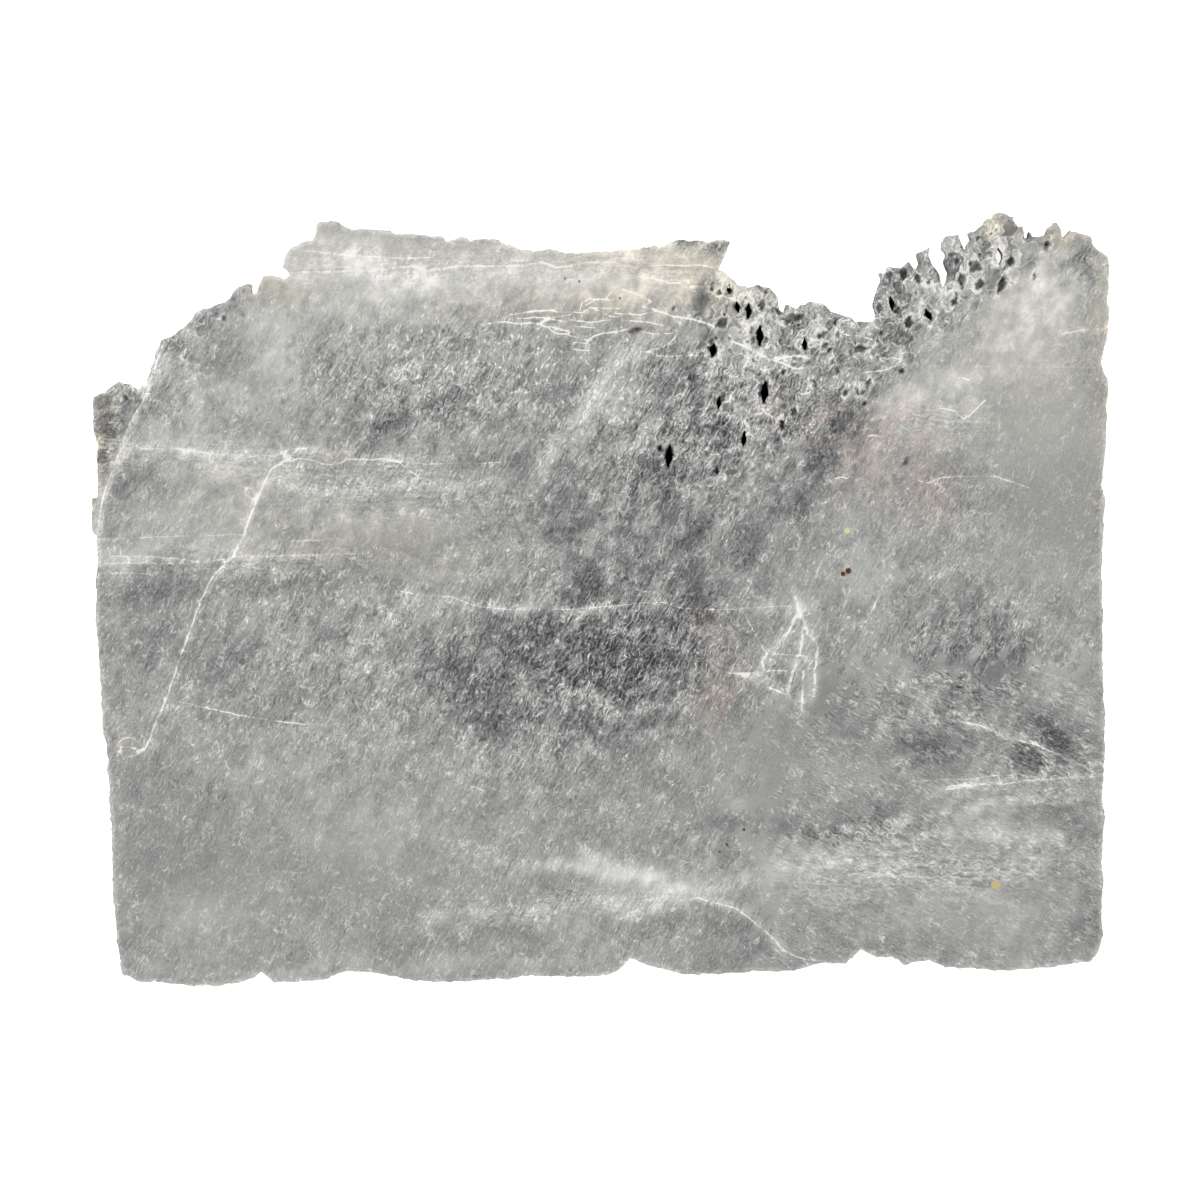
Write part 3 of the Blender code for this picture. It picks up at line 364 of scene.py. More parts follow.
CLEAR_POOLS = [
    (-24, -22, 27, 18, 0, 0.5), (4, 7, 22, 8, 0, 0.3), (-8, -8, 12, 8, 0, 0.3),
    (-8, -38, 11, 8, 0, 0.45), (-142, 37, 9, 7, 0, 0.35), (-128, 7, 18, 7, 0, 0.3),
    (66, 67, 18, 7, 0, 0.35), (14, -8, 11, 8, 0, 0.15), (106, -25, 6, 3, -20, 0.5),
    (135, -40, 6, 4, -30, 0.4), (95, -43, 6, 4, 0, 0.4), (62, -22, 22, 12, 0, 0.25),
    (128, -52, 16, 22, 0, 0.35), (105, -83, 12, 8, 0, 0.35), (82, -68, 12, 6, 0, 0.3),
    (26, 66, 20, 8, 0, 0.35), (28, 106.5, 11, 2.5, 4, 0.8), (-149.5, 50, 3.5, 10, 0, 0.6),
    (143, 98, 6, 4, 30, 0.8), (12, -21, 16, 12, 0, 0.9), (30, -3, 10, 11, 0, 0.9),
    (12, 21, 4, 4, 0, 0.6), (27, 18, 6, 5, 0, 0.6), (-12, 22, 7, 5, 0, 0.7),
    (-4.5, 3, 6, 4, 0, 0.6), (-18, -21, 8, 7, 0, 0.45), (-6, -15, 7, 7, 0, 0.45),
    (-36, -21, 7, 6, 0, 0.4), (-48, -20, 5, 4, 0, 0.4), (-30, -36, 10, 4, 0, 0.5),
    (-21, -9, 10, 4, 0, 0.4), (14, -40, 12, 6, 0, 0.5), (15, 35, 10, 7, 0, 0.5),
    (36, 50, 9, 7, 0, 0.3), (44.4, 18, 5, 4, 0, 0.6), (57, 27, 5, 5, 0, 0.7),
    (66, 39, 7, 8, 0, 0.8), (75, 54, 8, 8, 0, 0.8), (54, 66, 5, 5, 0, 0.7),
    (81.6, 72, 5, 4, 0, 0.7), (90, 90, 9, 5, 0, 0.8), (42, 90, 8, 6, 0, 0.7),
    (136.5, -40, 8, 5, -20, 0.6), (129, -47, 6, 4, 0, 0.5), (103.5, -44, 8, 6, 0, 0.6),
    (-66, 52, 8, 5, 40, 0.7), (-46.5, 61, 5, 4, 0, 0.7), (120, -20, 15, 12, 0, 0.3),
    (96, -15, 9, 8, 0, 0.3), (84, -61, 9, 4, 0, 0.35), (57, -68, 7, 4, 0, 0.35),
    (37.5, -68, 7, 4, 0, 0.35), (142.5, -69, 7, 10, 0, 0.35), (148.5, -96, 4, 10, 0, 0.35),
    (45, -102, 10, 6, -30, 0.35), (21, -99, 16, 4, 0, 0.35), (-150, 55, 4, 9, 0, 0.35),
    (-127, 78, 7, 3, 10, 0.8), (-117, 84, 8, 3, 30, 0.7), (-110, 70, 7, 4, 50, 0.6),
    (-118, 56, 3, 3, 0, 0.7), (-136.5, 3, 14, 4, 0, 0.4), (-99, 4, 10, 5, 0, 0.35),
    (-135, -15, 8, 6, 0, 0.3), (-111, -18, 8, 8, 0, 0.3), (-117, -57, 8, 6, 0, 0.3),
    (-93, -39, 8, 6, 0, 0.3), (-132, -51, 6, 6, 0, 0.3), (-141, -108, 4, 4, 0, 0.3),
    (-30, -98, 9, 4, 0, 0.3), (36, 36, 42, 21, 35, 0.35), (-6, 22, 30, 9, 0, 0.45),
]
FLAME_FIELDS = [
    (-44, 74, 30, 14, 0, 1.0), (-10, 66, 24, 14, 20, 0.8), (10, 52, 16, 12, 0, 0.6),
    (-84, 70, 14, 12, 0, 0.5),
]
STREAK_FIELDS = [
    (-115, 44, 34, 5, -4, 0.6), (-75, 36, 34, 6, -3, 0.6), (-50, 30, 40, 9, -2, 0.5),
    (-120, 12, 34, 5, 0, 0.7), (-70, 13, 30, 4, 2, 0.4), (-148, 50, 5, 14, 0, 1.0),
    (-40, 101, 66, 9, 0, 0.5), (20, 98, 24, 8, 0, 0.4), (100, 52, 18, 8, 0, 0.6),
    (125, -55, 24, 5, 2, 0.6), (118, -78, 34, 9, 4, 0.9), (80, -84, 26, 8, 10, 0.8),
    (-10, -91, 46, 5, 3, 0.6), (140, 70, 12, 12, 0, 0.4),
]
FLECK_FIELDS = [
    (142, 98, 8, 5, 30, 0.6), (36, 54, 48, 27, 30, 1), (12, -15, 27, 18, 0, 0.8),
    (-48, 66, 36, 18, 0, 0.8), (76.5, -71, 24, 5, 12, 0.7), (135, -48, 16, 7, -20, 0.7),
    (118, -14, 26, 18, 0, 0.6), (96, -30, 18, 12, 0, 0.3), (108, 30, 22, 16, 0, 0.2),
    (-136.5, 69, 18, 24, 0, 0.5), (-15, -27, 45, 27, 0, 0.5), (-81, -12, 54, 30, 0, 0.3),
    (135, 39, 16, 39, 0, -0.5), (-60, 16, 16, 8, 0, -0.4), (-123, -83, 28, 18, 0, -0.25),
    (-72, -78, 21, 18, 0, -0.25), (48, -48, 14, 14, 0, -0.3), (114, -95, 26, 11, 0, -0.2),
    (-42, 103, 60, 7, 0, -0.8), (28, 106, 12, 3, 4, 1.0),
]
POROUS_FIELDS = [
    (40, 88, 18, 13, 0, 1.0), (60, 81, 24, 10, 0, 0.9), (84, 80, 18, 12, 0, 0.9),
    (99, 96, 22, 14, 30, 1.0), (120, 104, 13, 11, 0, 0.9), (134, 110, 10, 4, 0, 0.5),
    (50, 60, 20, 17, 0, 0.5), (76, 56, 16, 15, 0, 0.45), (-124, 82, 16, 9, 38, 0.85),
    (148, 98, 6, 6, 0, 0.7), (-146, 62, 8, 6, 0, 0.6),
]
CREAM_FIELDS = [
    (-149, 50, 4, 14, 0, 0.4), (0, 88, 44, 6, 0, 0.5), (-40, 104, 70, 5, 0, 0.35),
    (18, 100, 24, 8, 0, 0.4), (30, 95, 10, 8, 0, 0.4), (-98, 94, 14, 4, 0, 0.6),
    (151.5, 60, 3, 50, 0, 0.6), (151, -60, 2.4, 60, 0, 0.2), (-151, 40, 3, 26, 0, 0.45),
    (-147, 62, 8, 4, 20, 0.25), (121, 113, 9, 4, 0, 0.7), (140, 109, 10, 4, 0, 0.6),
    (-142.5, -43.5, 4, 3, 0, 0.6), (130, 76, 24, 30, 0, 0.25), (-78, 16, 26, 10, 0, 0.3),
    (-50, 16, 16, 8, 0, 0.2), (-110, 33, 24, 10, 0, 0.15),
]
BLUSH_FIELDS = [
    (30, -6, 7, 5, 0, 0.8), (36, -27, 9, 13, 0, 0.7), (78, 42, 10, 14, 0, 0.6),
    (92, 52, 8, 9, 0, 0.5), (99, 36, 9, 12, 0, 0.6), (54, 60, 5, 7, 0, 0.5), (66, 52, 8, 6, 0, 0.5),
    (-78, 44, 5, 2, 0, 0.5), (18, 42, 6, 5, 0, 0.3),
]
# Soft white bands: how far they reach to each side, strength, corners.
FEATHERS = [
    (2.6, 0.5, [(-52, -95), (-26, -93), (-4, -91.5), (14, -90), (29, -89.2)]),
    (2.2, 0.4, [(-36, -79), (-14, -80), (4, -82), (20, -85.5), (30, -89)]),
    (2.4, 0.5, [(-4, -77), (9, -81.5), (20, -85.5), (29, -89)]),
    (1.6, 0.45, [(27.6, -72), (28.5, -80.5), (29.7, -89)]),
    (1.5, 0.4, [(34, -71), (32, -80), (30, -89)]),
    (1.5, 0.5, [(28, -88.6), (36, -91.3), (44, -94.6), (50, -99.8), (54, -104)]),
    (2.4, 0.3, [(32, -88), (52, -82), (74, -78), (96, -77)]),
    (1.8, 0.35, [(90, -66), (108, -63), (126, -60), (146, -60)]),
    (1.6, 0.35, [(84, -74), (100, -70), (118, -70), (138, -72)]),
    (1.5, 0.3, [(66, -84), (84, -82), (104, -85), (124, -92)]),
    (2.0, 0.4, [(29, -89.5), (20, -91), (11, -93.5), (6, -96)]),
    (2.6, 0.42, [(12, 77), (4.5, 69.5), (-1.5, 59.8), (-8.7, 52.6), (-14.4, 44.2), (-20, 34)]),
    (1.3, 0.5, [(-150, 47), (-130, 45.4), (-114, 43.4), (-97, 43)]),
    (1.5, 0.45, [(-97, 43), (-88, 45), (-74, 43), (-58, 41)]),
    (1.0, 0.2, [(-92, 42), (-101, 34), (-107, 18), (-116, 6), (-121, -4)]),
    (1.0, 0.25, [(-150, 12), (-130, 12), (-112, 12.5), (-80, 13.5)]),
    (1.6, 0.35, [(-92, 34), (-70, 33), (-48, 35), (-30, 35)]),
    (1.8, 0.35, [(-66, 1), (-44, 0), (-30, -3), (0, -3), (20, -2), (56, -2.5)]),
    (1.2, 0.36, [(108, -36), (124, -41.5), (140, -47), (150, -53)]),
    (1.4, 0.34, [(98, -57), (116, -55), (136, -53.6), (151, -53)]),
    (1.6, 0.5, [(60, -1), (60, -9), (63, -18), (63.5, -30)]),
    (1.6, 0.45, [(60, -5), (55, -12), (49.5, -18), (46, -23)]),
    (2.2, 0.4, [(44, -21.5), (50, -26), (57, -28)]),
    (0.9, 0.6, [(59, 1), (59.6, -4.6), (56.8, -10), (54.4, -13.8)]),
    (0.9, 0.55, [(61, -5.4), (63.6, -12.2), (65.4, -16.8), (64.6, -27), (63.6, -32)]),
    (1.0, 0.5, [(60, -5), (60.2, -12.4), (59.8, -20), (60.8, -30), (61.4, -35)]),
    (0.9, 0.5, [(59.6, -17), (57.8, -22.6), (56, -30.2), (54.8, -33.4)]),
    (1.4, 0.22, [(-132, 74), (-138, 58), (-147, 36), (-150.6, 20)]),
]

# %% [markdown]
# ## Measuring on the plate
#
# Every mask and every edge below asks one of three questions about a set of points: how far they
# are from a line, whether they lie inside a loop, and what a soft noise says there. Blender's
# mesh tools answer such questions for one point at a time. NumPy answers them for all points at
# once, which keeps a mesh of this size quick to make.

# %% Distances, insides and noise for many points at once
def eased(share):
    """0 to 1 with soft ends."""
    share = np.clip(share, 0, 1)
    return share * share * (3 - 2 * share)


def closed(loop):
    return list(loop) + [loop[0]]


def distance(points, line):
    """How far each point is from the line."""
    nearest = np.full(len(points), 1e9)
    for start, end in zip(line, line[1:]):
        start = np.array(start, float)
        run = np.array(end, float) - start
        share = ((points - start) @ run) / max(run @ run, 1e-12)
        gap = points - start - np.clip(share, 0, 1)[:, None] * run
        nearest = np.minimum(nearest, np.hypot(gap[:, 0], gap[:, 1]))
    return nearest


def inside(points, loop):
    """Which points lie within the closed loop."""
    x, y = points[:, 0], points[:, 1]
    within = np.zeros(len(points), bool)
    for (ax, ay), (bx, by) in zip(loop, closed(loop)[1:]):
        if ay != by:
            within ^= ((ay > y) != (by > y)) & (x < (bx - ax) * (y - ay) / (by - ay) + ax)
    return within


def around(points, line, room):
    """The numbers of the points in the line's box, grown by the room."""
    low = np.min(line, axis=0) - room
    high = np.max(line, axis=0) + room
    return np.flatnonzero(((points > low) & (points < high)).all(axis=1))


def waves(points, length, level, width=None, lean=0):
    """Soft noise between about -1 and 1, whose waves can be long along a lean and narrow across."""
    turn = math.radians(lean)
    along = points @ np.array([math.cos(turn), math.sin(turn)]) / length
    across = points @ np.array([-math.sin(turn), math.cos(turn)]) / (width or length)
    pairs = zip(along.tolist(), across.tolist())
    return np.array([noise.noise((u, v, level)) for u, v in pairs]) * 1.6


def wander(points, size, length, first, second):
    """A soft sideways shift for each point, from two levels of noise."""
    return size * np.stack([waves(points, length, first), waves(points, length, second)], axis=1)


def seen_from(points, x, y, lean):
    """The points along and across a lean through (x, y)."""
    turn = math.radians(lean)
    along = (points[:, 0] - x) * math.cos(turn) + (points[:, 1] - y) * math.sin(turn)
    across = (points[:, 1] - y) * math.cos(turn) - (points[:, 0] - x) * math.sin(turn)
    return along, across


def patches(points, rows):
    """The sum of the soft patches at each point."""
    total = np.zeros(len(points))
    for x, y, long, wide, lean, strength in rows:
        along, across = seen_from(points, x, y, lean)
        total += strength * np.exp(-((along / long) ** 2 + (across / wide) ** 2))
    return total


# %% [markdown]
# ## Lines that the mesh follows
#
# The outline and the rims of the holes are broken into steps of about a millimetre, and each new
# corner strays a little by the same noise as its neighbours, so the edge looks torn and not
# fuzzy. Cracks are treated in the same way, then cut back where they meet an edge.

# %% The fine outline, the rims and the crack lines
EDGE_STEP = 1.0
RIM_STEP = 0.7
CRACK_STEP = 1.3
BOX_ROOM = 0.02  # the torn outline stays this far inside the solid's box
EDGE_TEARS = ((0.24, 2.6, 5.0), (0.14, 0.9, 9.0))  # how far, over what length, noise level
RIM_TEARS = ((0.22, 1.1, 15.0),)
CRACK_TEARS = ((0.12, 2.2, 25.0), (0.06, 0.8, 29.0))


def torn(line, step, tears):
    """The line in short steps whose corners stray sideways by noise."""
    fine = []
    for start, end in zip(line, line[1:]):
        pieces = max(1, round(math.dist(start, end) / step))
        for piece in range(pieces):
            fine.append([a + (b - a) * piece / pieces for a, b in zip(start, end)])
    fine = np.array(fine + [line[-1]], float)
    run = np.gradient(fine, axis=0)
    aside = np.stack([-run[:, 1], run[:, 0]], axis=1)
    aside /= np.maximum(np.hypot(run[:, 0], run[:, 1]), 1e-6)[:, None]
    for size, length, level in tears:
        fine += aside * (size * waves(fine, length, level))[:, None]
    return fine


def torn_loop(loop, step, tears):
    return torn(closed(loop), step, tears)[:-1]


def lens(x, y, long, wide, lean):
    """A rhombic opening with blunt shoulders."""
    corners = [(0, 1), (0.5, 0.55), (0.9, 0.1), (0.85, -0.25), (0.4, -0.62),
               (0, -1), (-0.5, -0.55), (-0.9, -0.1), (-0.85, 0.25), (-0.4, 0.62)]
    turn = math.radians(-lean)
    points = []
    for across, along in corners:
        u = across * wide
        v = along * long
        points.append((x + u * math.cos(turn) - v * math.sin(turn),
                       y + u * math.sin(turn) + v * math.cos(turn)))
    return points


outline = torn_loop(OUTLINE, EDGE_STEP, EDGE_TEARS)
limit = np.array([HALF_LONG, HALF_WIDE]) - BOX_ROOM
outline = np.clip(outline, -limit, limit)
rims = [torn_loop(lens(*hole), RIM_STEP, RIM_TEARS) for hole in HOLES]
print(len(outline), "corners in the outline,", sum(len(rim) for rim in rims), "in the rims")

# %% [markdown]
# ## The side wall
#
# A broken edge of selenite looks like the edge of a book: sheets of slightly different length.
# So the wall isn't one strip. Each sheet has an upright face of its own, set in by its own
# noise, with a narrow ledge to the next one.

# %% Rings of the wall, from the face to the back
# each sheet's upper and lower edge, as shares of the way down
SHEETS = ((0.05, 0.24), (0.26, 0.42), (0.44, 0.63), (0.65, 0.8), (0.82, 0.97))
FACE_INSET = 0.4
BACK_INSET = 0.6
SHEET_REACH = 1.0  # how far a sheet may lie in from the outline
SHEET_WAVE = 6.0
INSET_SHARE = 0.2  # a narrow finger is never taken in by more than this share of its width
NEIGHBOURS = 5


def stone_widths(loop):
    """How wide the stone or the gap beside each corner of the loop is."""
    run = np.roll(loop, -1, axis=0) - loop
    length = np.maximum((run ** 2).sum(axis=1), 1e-12)
    count = len(loop)
    widths = np.empty(count)
    order = np.arange(count)
    for index in range(count):
        share = np.clip(((loop[index] - loop) * run).sum(axis=1) / length, 0, 1)
        gap = np.hypot(*(loop + share[:, None] * run - loop[index]).T)
        apart = np.abs((order - index + count // 2) % count - count // 2)
        widths[index] = gap[apart > NEIGHBOURS].min()
    return widths


def taken_in(loop, amount, widths):
    """The clockwise loop moved into the stone by the amounts, less where it is narrow."""
    run = np.roll(loop, -1, axis=0) - np.roll(loop, 1, axis=0)
    into = np.stack([run[:, 1], -run[:, 0]], axis=1)
    into /= np.maximum(np.hypot(run[:, 0], run[:, 1]), 1e-6)[:, None]
    return loop + into * np.minimum(amount, INSET_SHARE * widths)[:, None]


widths = stone_widths(outline)
wall_rings = [(0.0, taken_in(outline, np.full(len(outline), FACE_INSET), widths))]
for number, (upper, lower) in enumerate(SHEETS):
    ragged = SHEET_REACH * (0.35 + 0.65 * waves(outline, SHEET_WAVE, 40.0 + 7 * number))
    ragged += 0.3 * waves(outline, 1.4, 80.0 + number)
    ragged = np.maximum(ragged, 0)
    sheet = taken_in(outline, ragged if number else 0.5 * ragged, widths)
    wall_rings += [(upper, sheet), (lower, sheet)]
wall_rings.append((1.0, taken_in(outline, np.full(len(outline), BACK_INSET), widths)))
print(len(wall_rings), "rings in the wall")

# %% [markdown]
# ## Flat triangles first
#
# The face is laid out flat before it gets its height. A Delaunay net takes the outline, the rims
# and the cracks as edges and fills the rest with nearly even triangles. They are finer where the
# rim is porous and where cracks crowd, so that the detail there is real shape.

# %% Nets of loose points, and the triangles between them
FACE_GRAIN = 1.22
FINE_GRAIN = 0.66
BACK_GRAIN = 6.0
BACK_ROOM = 1.6  # loose points of the back keep this far from its edges
EDGE_ROOM = 0.45  # the same on the face, as a share of the grain
CRACK_ROOM = 0.4
RIM_ROOM = 0.7  # a crack ends this far from an edge
NET_STRAY = 0.22
HOLE_TAPER = 0.15  # how much narrower a hole is at the back
FINE_AREAS = [
    [(26, 102), (44, 99), (60, 92), (84, 88), (84, 44), (72, 40), (48, 34), (16, 40), (20, 66)],
    [(80, 102), (96, 110), (116, 118), (132, 114), (130, 88), (112, 78), (84, 76)],
    [(-36, 86), (-8, 97), (36, 98), (37, 72), (12, 72), (-10, 76), (-36, 79)],
]
chance = random.Random(41)


def net(grain):
    """A jittered net of triangles' corners over the whole box."""
    rise = grain * math.sqrt(3) / 2
    stray = NET_STRAY * grain
    points = []
    for row in range(int(2 * HALF_WIDE / rise) + 1):
        for column in range(int(2 * HALF_LONG / grain) + 1):
            x = (column + row % 2 / 2) * grain - HALF_LONG + chance.uniform(-stray, stray)
            points.append((x, row * rise - HALF_WIDE + chance.uniform(-stray, stray)))
    return np.array(points)


def clear_of(points, lines, room):
    """The points that keep this far from every line."""
    free = np.ones(len(points), bool)
    for line in lines:
        close = around(points, line, room)
        free[close[distance(points[close], line) < room]] = False
    return points[free]


def on_stone(points, loops):
    within = inside(points, loops[0])
    for loop in loops[1:]:
        within &= ~inside(points, loop)
    return within


def clear_runs(line, loops, room):
    """The stretches of the line that lie on the stone, at least this far from its edges."""
    free = on_stone(line, loops)
    for loop in loops:
        free &= distance(line, closed(loop)) > room
    runs = np.split(np.arange(len(line)), np.flatnonzero(~free))
    runs = [run[free[run]] for run in runs]
    return [line[run] for run in runs if len(run) > 1]


def flat_triangles(loops, guides, loose):
    """Points, triangles, and each loop's points as numbers in the first list."""
    lines = [closed(range(len(loop))) for loop in loops] + [range(len(guide)) for guide in guides]
    edges = []
    starts = []
    first = 0
    for line, points in zip(lines, loops + guides):
        edges += [(first + a, first + b) for a, b in zip(line, line[1:])]
        starts.append(first)
        first += len(points)
    everything = np.concatenate(loops + guides + [loose])
    made = delaunay_2d_cdt([Vector(point) for point in everything.tolist()], edges, [], 1, 1e-5)
    flat = np.array([tuple(point) for point in made[0]])
    triangles = np.array([tuple(face) for face in made[2]])
    middles = flat[triangles].mean(axis=1)
    kept = np.ones(len(middles), bool)
    for loop in loops[1:]:
        close = around(middles, loop, 0)
        kept[close[inside(middles[close], loop)]] = False
    became = {old: new for new, olds in enumerate(made[3]) for old in olds}
    rings = [[became[first + i] for i in range(len(loop))] for first, loop in zip(starts, loops)]
    return flat, triangles[kept], rings


face_loops = [wall_rings[0][1]] + rims
cracks = []
for half_width, whiteness, corners in CRACKS:
    line = torn(corners, CRACK_STEP, CRACK_TEARS)
    cracks += [(half_width, whiteness, run) for run in clear_runs(line, face_loops, RIM_ROOM)]
guides = [line for _, _, line in cracks]

coarse = net(FACE_GRAIN)
fine = net(FINE_GRAIN)
in_fine = np.zeros(len(fine), bool)
in_coarse = np.zeros(len(coarse), bool)
for area in FINE_AREAS:
    in_fine |= inside(fine, area)
    in_coarse |= inside(coarse, area)
loose = []
for points, grain in ((coarse[~in_coarse], FACE_GRAIN), (fine[in_fine], FINE_GRAIN)):
    points = points[on_stone(points, [np.array(OUTLINE)] + rims)]
    points = clear_of(points, [closed(loop) for loop in face_loops], EDGE_ROOM * grain)
    loose.append(clear_of(points, guides, CRACK_ROOM * grain))
face, face_triangles, face_rings = flat_triangles(face_loops, guides, np.concatenate(loose))
print(f"face: {len(face)} points, {len(face_triangles)} triangles, {len(cracks)} cracks")

back_rims = [rim + HOLE_TAPER * (np.mean(rim, axis=0) - rim) for rim in rims]
back_loops = [wall_rings[-1][1]] + back_rims
loose = net(BACK_GRAIN)
loose = loose[on_stone(loose, back_loops)]
loose = clear_of(loose, [closed(loop) for loop in back_loops], BACK_ROOM)
back, back_triangles, back_rings = flat_triangles(back_loops, [], loose)
print(f"back: {len(back)} points, {len(back_triangles)} triangles")

# %% [markdown]
# ## Height
#
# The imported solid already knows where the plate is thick, stepped or worn, so its heights are
# read off it with vertical rays. Its flat facets are then smoothed away, but a real step or pit
# is kept sharp, because a point that smoothing would move far is left where it was.

# %% Heights read off the solid
SMOOTHINGS = 8
KEPT_STEP = 0.3  # a height that smoothing would change by this much stays as it is
LEAST_THICKNESS = 1.6
FACE_FOOT = 0.5  # how far into the stone a rim point reads its height
BACK_FOOT = 0.3
solid_tree = BVHTree.FromObject(solid, bpy.context.evaluated_depsgraph_get())


def solid_height(points, sign):
    """Height of the solid's upper (sign -1) or lower (sign 1) side at each point."""
    direction = Vector((0, 0, sign))
    heights = []
    for x, y in (points * MM).tolist():
        hit = solid_tree.ray_cast(Vector((x, y, -sign)), direction)[0]
        if hit is None:
            hit = solid_tree.find_nearest(Vector((x, y, -sign * high.z)))[0]
        heights.append(hit.z / MM)
    return np.array(heights)


def smoothed(heights, triangles):
    """Soft heights, with real steps kept."""
    ends = np.concatenate([triangles[:, [0, 1]], triangles[:, [1, 2]], triangles[:, [2, 0]]])
    ends = np.unique(np.sort(ends, axis=1), axis=0)
    count = np.bincount(ends.ravel(), minlength=len(heights))
    soft = heights.copy()
    for _ in range(SMOOTHINGS):
        total = np.bincount(ends[:, 0], soft[ends[:, 1]], len(soft))
        total += np.bincount(ends[:, 1], soft[ends[:, 0]], len(soft))
        soft = 0.5 * soft + 0.5 * total / np.maximum(count, 1)
    kept = eased(np.abs(heights - soft) / KEPT_STEP)
    return soft + (heights - soft) * kept


def feet_of(flat, rings, away):
    """Where to read the height: rim points read it a little way into the stone."""
    feet = flat.copy()
    feet[rings[0]] = taken_in(outline, np.full(len(outline), away + FACE_INSET), widths)
    for ring, hole in zip(rings[1:], HOLES):
        out = flat[ring] - hole[:2]
        feet[ring] += away * out / np.hypot(out[:, 0], out[:, 1])[:, None]
    return feet


face_z = smoothed(solid_height(feet_of(face, face_rings, FACE_FOOT), -1), face_triangles)
back_z = solid_height(feet_of(back, back_rings, BACK_FOOT), 1)
print(f"face from {face_z.min():.1f} to {face_z.max():.1f} mm, back up to {back_z.max():.1f} mm")

# %% [markdown]
# ## Masks
#
# A mask is one number for each point that tells the material how much of something is there.
# Masks could be painted, but from named patches and distances they stay exact and editable.
# They are worked out before the fine relief, because the relief follows them too.

# %% Small blind pits, scattered where the rim is porous
SMALL_PITS = 110
pits = list(PITS)
while len(pits) < len(PITS) + SMALL_PITS:
    x = chance.uniform(-150, 150)
    y = chance.uniform(25, 114)
    porous = patches(np.array([[x, y]]), POROUS_FIELDS)[0]
    if chance.random() < porous * porous:
        half_long = chance.uniform(0.6, 1.9)
        half_wide = half_long * chance.uniform(0.28, 0.5)
        lean = chance.gauss(4 if x < 86 else 28, 9)
        pits.append((x, y, half_long, half_wide, lean, half_long * chance.uniform(0.4, 0.8)))


# %% Masks for any set of points
BLUNT = 1.25  # a rim's shoulders lie outside its straight-sided rhomb
CRACK_REACH = 5.0
# Strength of the painted shade in holes and in pits.
HOLE_PAINTED_SHADE = 1.0
PIT_PAINTED_SHADE = 0.42
TIP_PAINTED_SHADE = 0.1  # the last hole, at the tip, is light: little painted shade
NO_CRACK = 20.0  # a distance, in half widths, at which nothing of a crack shows
LIP_OUT = 0.2  # how far out from the rim the pale lip lies
FRAME_OUT = 1.4  # the same for the pale frame round a hole
FRAME_WHITE = 1.1
LINE_WIDTH = 0.38
SHADE_FADE_WIDTH = 0.3  # over how wide a strip the painted shade comes in at an opening's rim


def rim_gap(points, x, y, long, wide, lean):
    """Signed distance from an opening's rim, more than 0 on the stone."""
    across, along = seen_from(points, x, y, -lean)
    wide = wide * BLUNT
    share = np.abs(across) / wide + np.abs(along) / long
    return (share - 1) * wide * long / math.hypot(wide, long)


def pale_line(gap, out):
    """1 on a line that runs this far out from a rim, fading to both sides."""
    return np.exp(-((gap - out) / LINE_WIDTH) ** 2)


def crack_masks(points):
    """Distance from the nearest crack in its half widths, and that crack's whiteness."""
    nearest = np.full(len(points), NO_CRACK)
    whiteness = np.zeros(len(points))
    for half_width, white, line in cracks:
        close = around(points, line, CRACK_REACH)
        share = distance(points[close], line) / half_width
        nearer = share < nearest[close]
        nearest[close[nearer]] = share[nearer]
        whiteness[close[nearer]] = white
    return nearest, whiteness


def feather_mask(points):
    """Strength of the widest soft white band at each point."""
    strongest = np.zeros(len(points))
    for reach, strength, line in FEATHERS:
        close = around(points, line, 3 * reach)
        faded = strength * np.exp(-(distance(points[close], line) / reach) ** 2)
        strongest[close] = np.maximum(strongest[close], faded)
    return strongest


def masks_of(points):
    """Every mask at these points, by name."""
    warped = points + wander(points, 3.2, 17, 3.0, 6.0)
    warped += wander(points, 1.2, 4, 13.0, 16.0)
    masks = {
        "veil": patches(warped, VEILS),
        "window": patches(warped, CLEAR_POOLS),
        "needles": patches(warped, FLECK_FIELDS),
        "porous": patches(warped, POROUS_FIELDS),
        "cream": patches(warped, CREAM_FIELDS),
        "blush": patches(warped, BLUSH_FIELDS),
        "streaks": patches(warped, STREAK_FIELDS),
        "flames": patches(warped, FLAME_FIELDS),
        "feather": feather_mask(points + 0.25 * (warped - points)),
        "large": 0.12 * (waves(points, 30, 51.0) + 0.6 * waves(points, 15, 53.0)),
        "mottle": 0.17 * (waves(points, 7.5, 55.0, 5, 55)
                          + 0.7 * waves(points, 3.7, 57.0, 2.5, 55)),
        "some": 0.5 + 0.14 * (waves(points, 5.5, 61.0) + 0.6 * waves(points, 2.8, 63.0)),
        "lip": np.zeros(len(points)),
        "hollow": np.zeros(len(points)),
    }
    ragged = points + wander(points, 0.6, 1.6, 33.0, 37.0)
    for number, (x, y, long, wide, lean, *_) in enumerate(HOLES + pits):
        # Painted shade in each opening: strongest in the holes, less in the pits, little at the
        # tip.
        dark = PIT_PAINTED_SHADE if number >= len(HOLES) else HOLE_PAINTED_SHADE
        dark = TIP_PAINTED_SHADE if number == len(HOLES) - 1 else dark
        close = around(points, [(x, y)], long + 3)
        gap = rim_gap(ragged[close], x, y, long, wide, lean)
        lip = pale_line(gap, LIP_OUT)
        if number < len(HOLES):
            lip = np.maximum(lip, FRAME_WHITE * pale_line(gap, FRAME_OUT))
        shade = dark * eased(-gap / SHADE_FADE_WIDTH)
        masks["lip"][close] = np.maximum(masks["lip"][close], lip)
        masks["hollow"][close] = np.maximum(masks["hollow"][close], shade)
    masks["crack"], masks["crack_white"] = crack_masks(points)
    masks["edge"] = distance(points, closed(OUTLINE))
    return masks


masks = masks_of(face)
for name, values in masks.items():
    print(f"{name}: {values.min():.2f} to {values.max():.2f}")

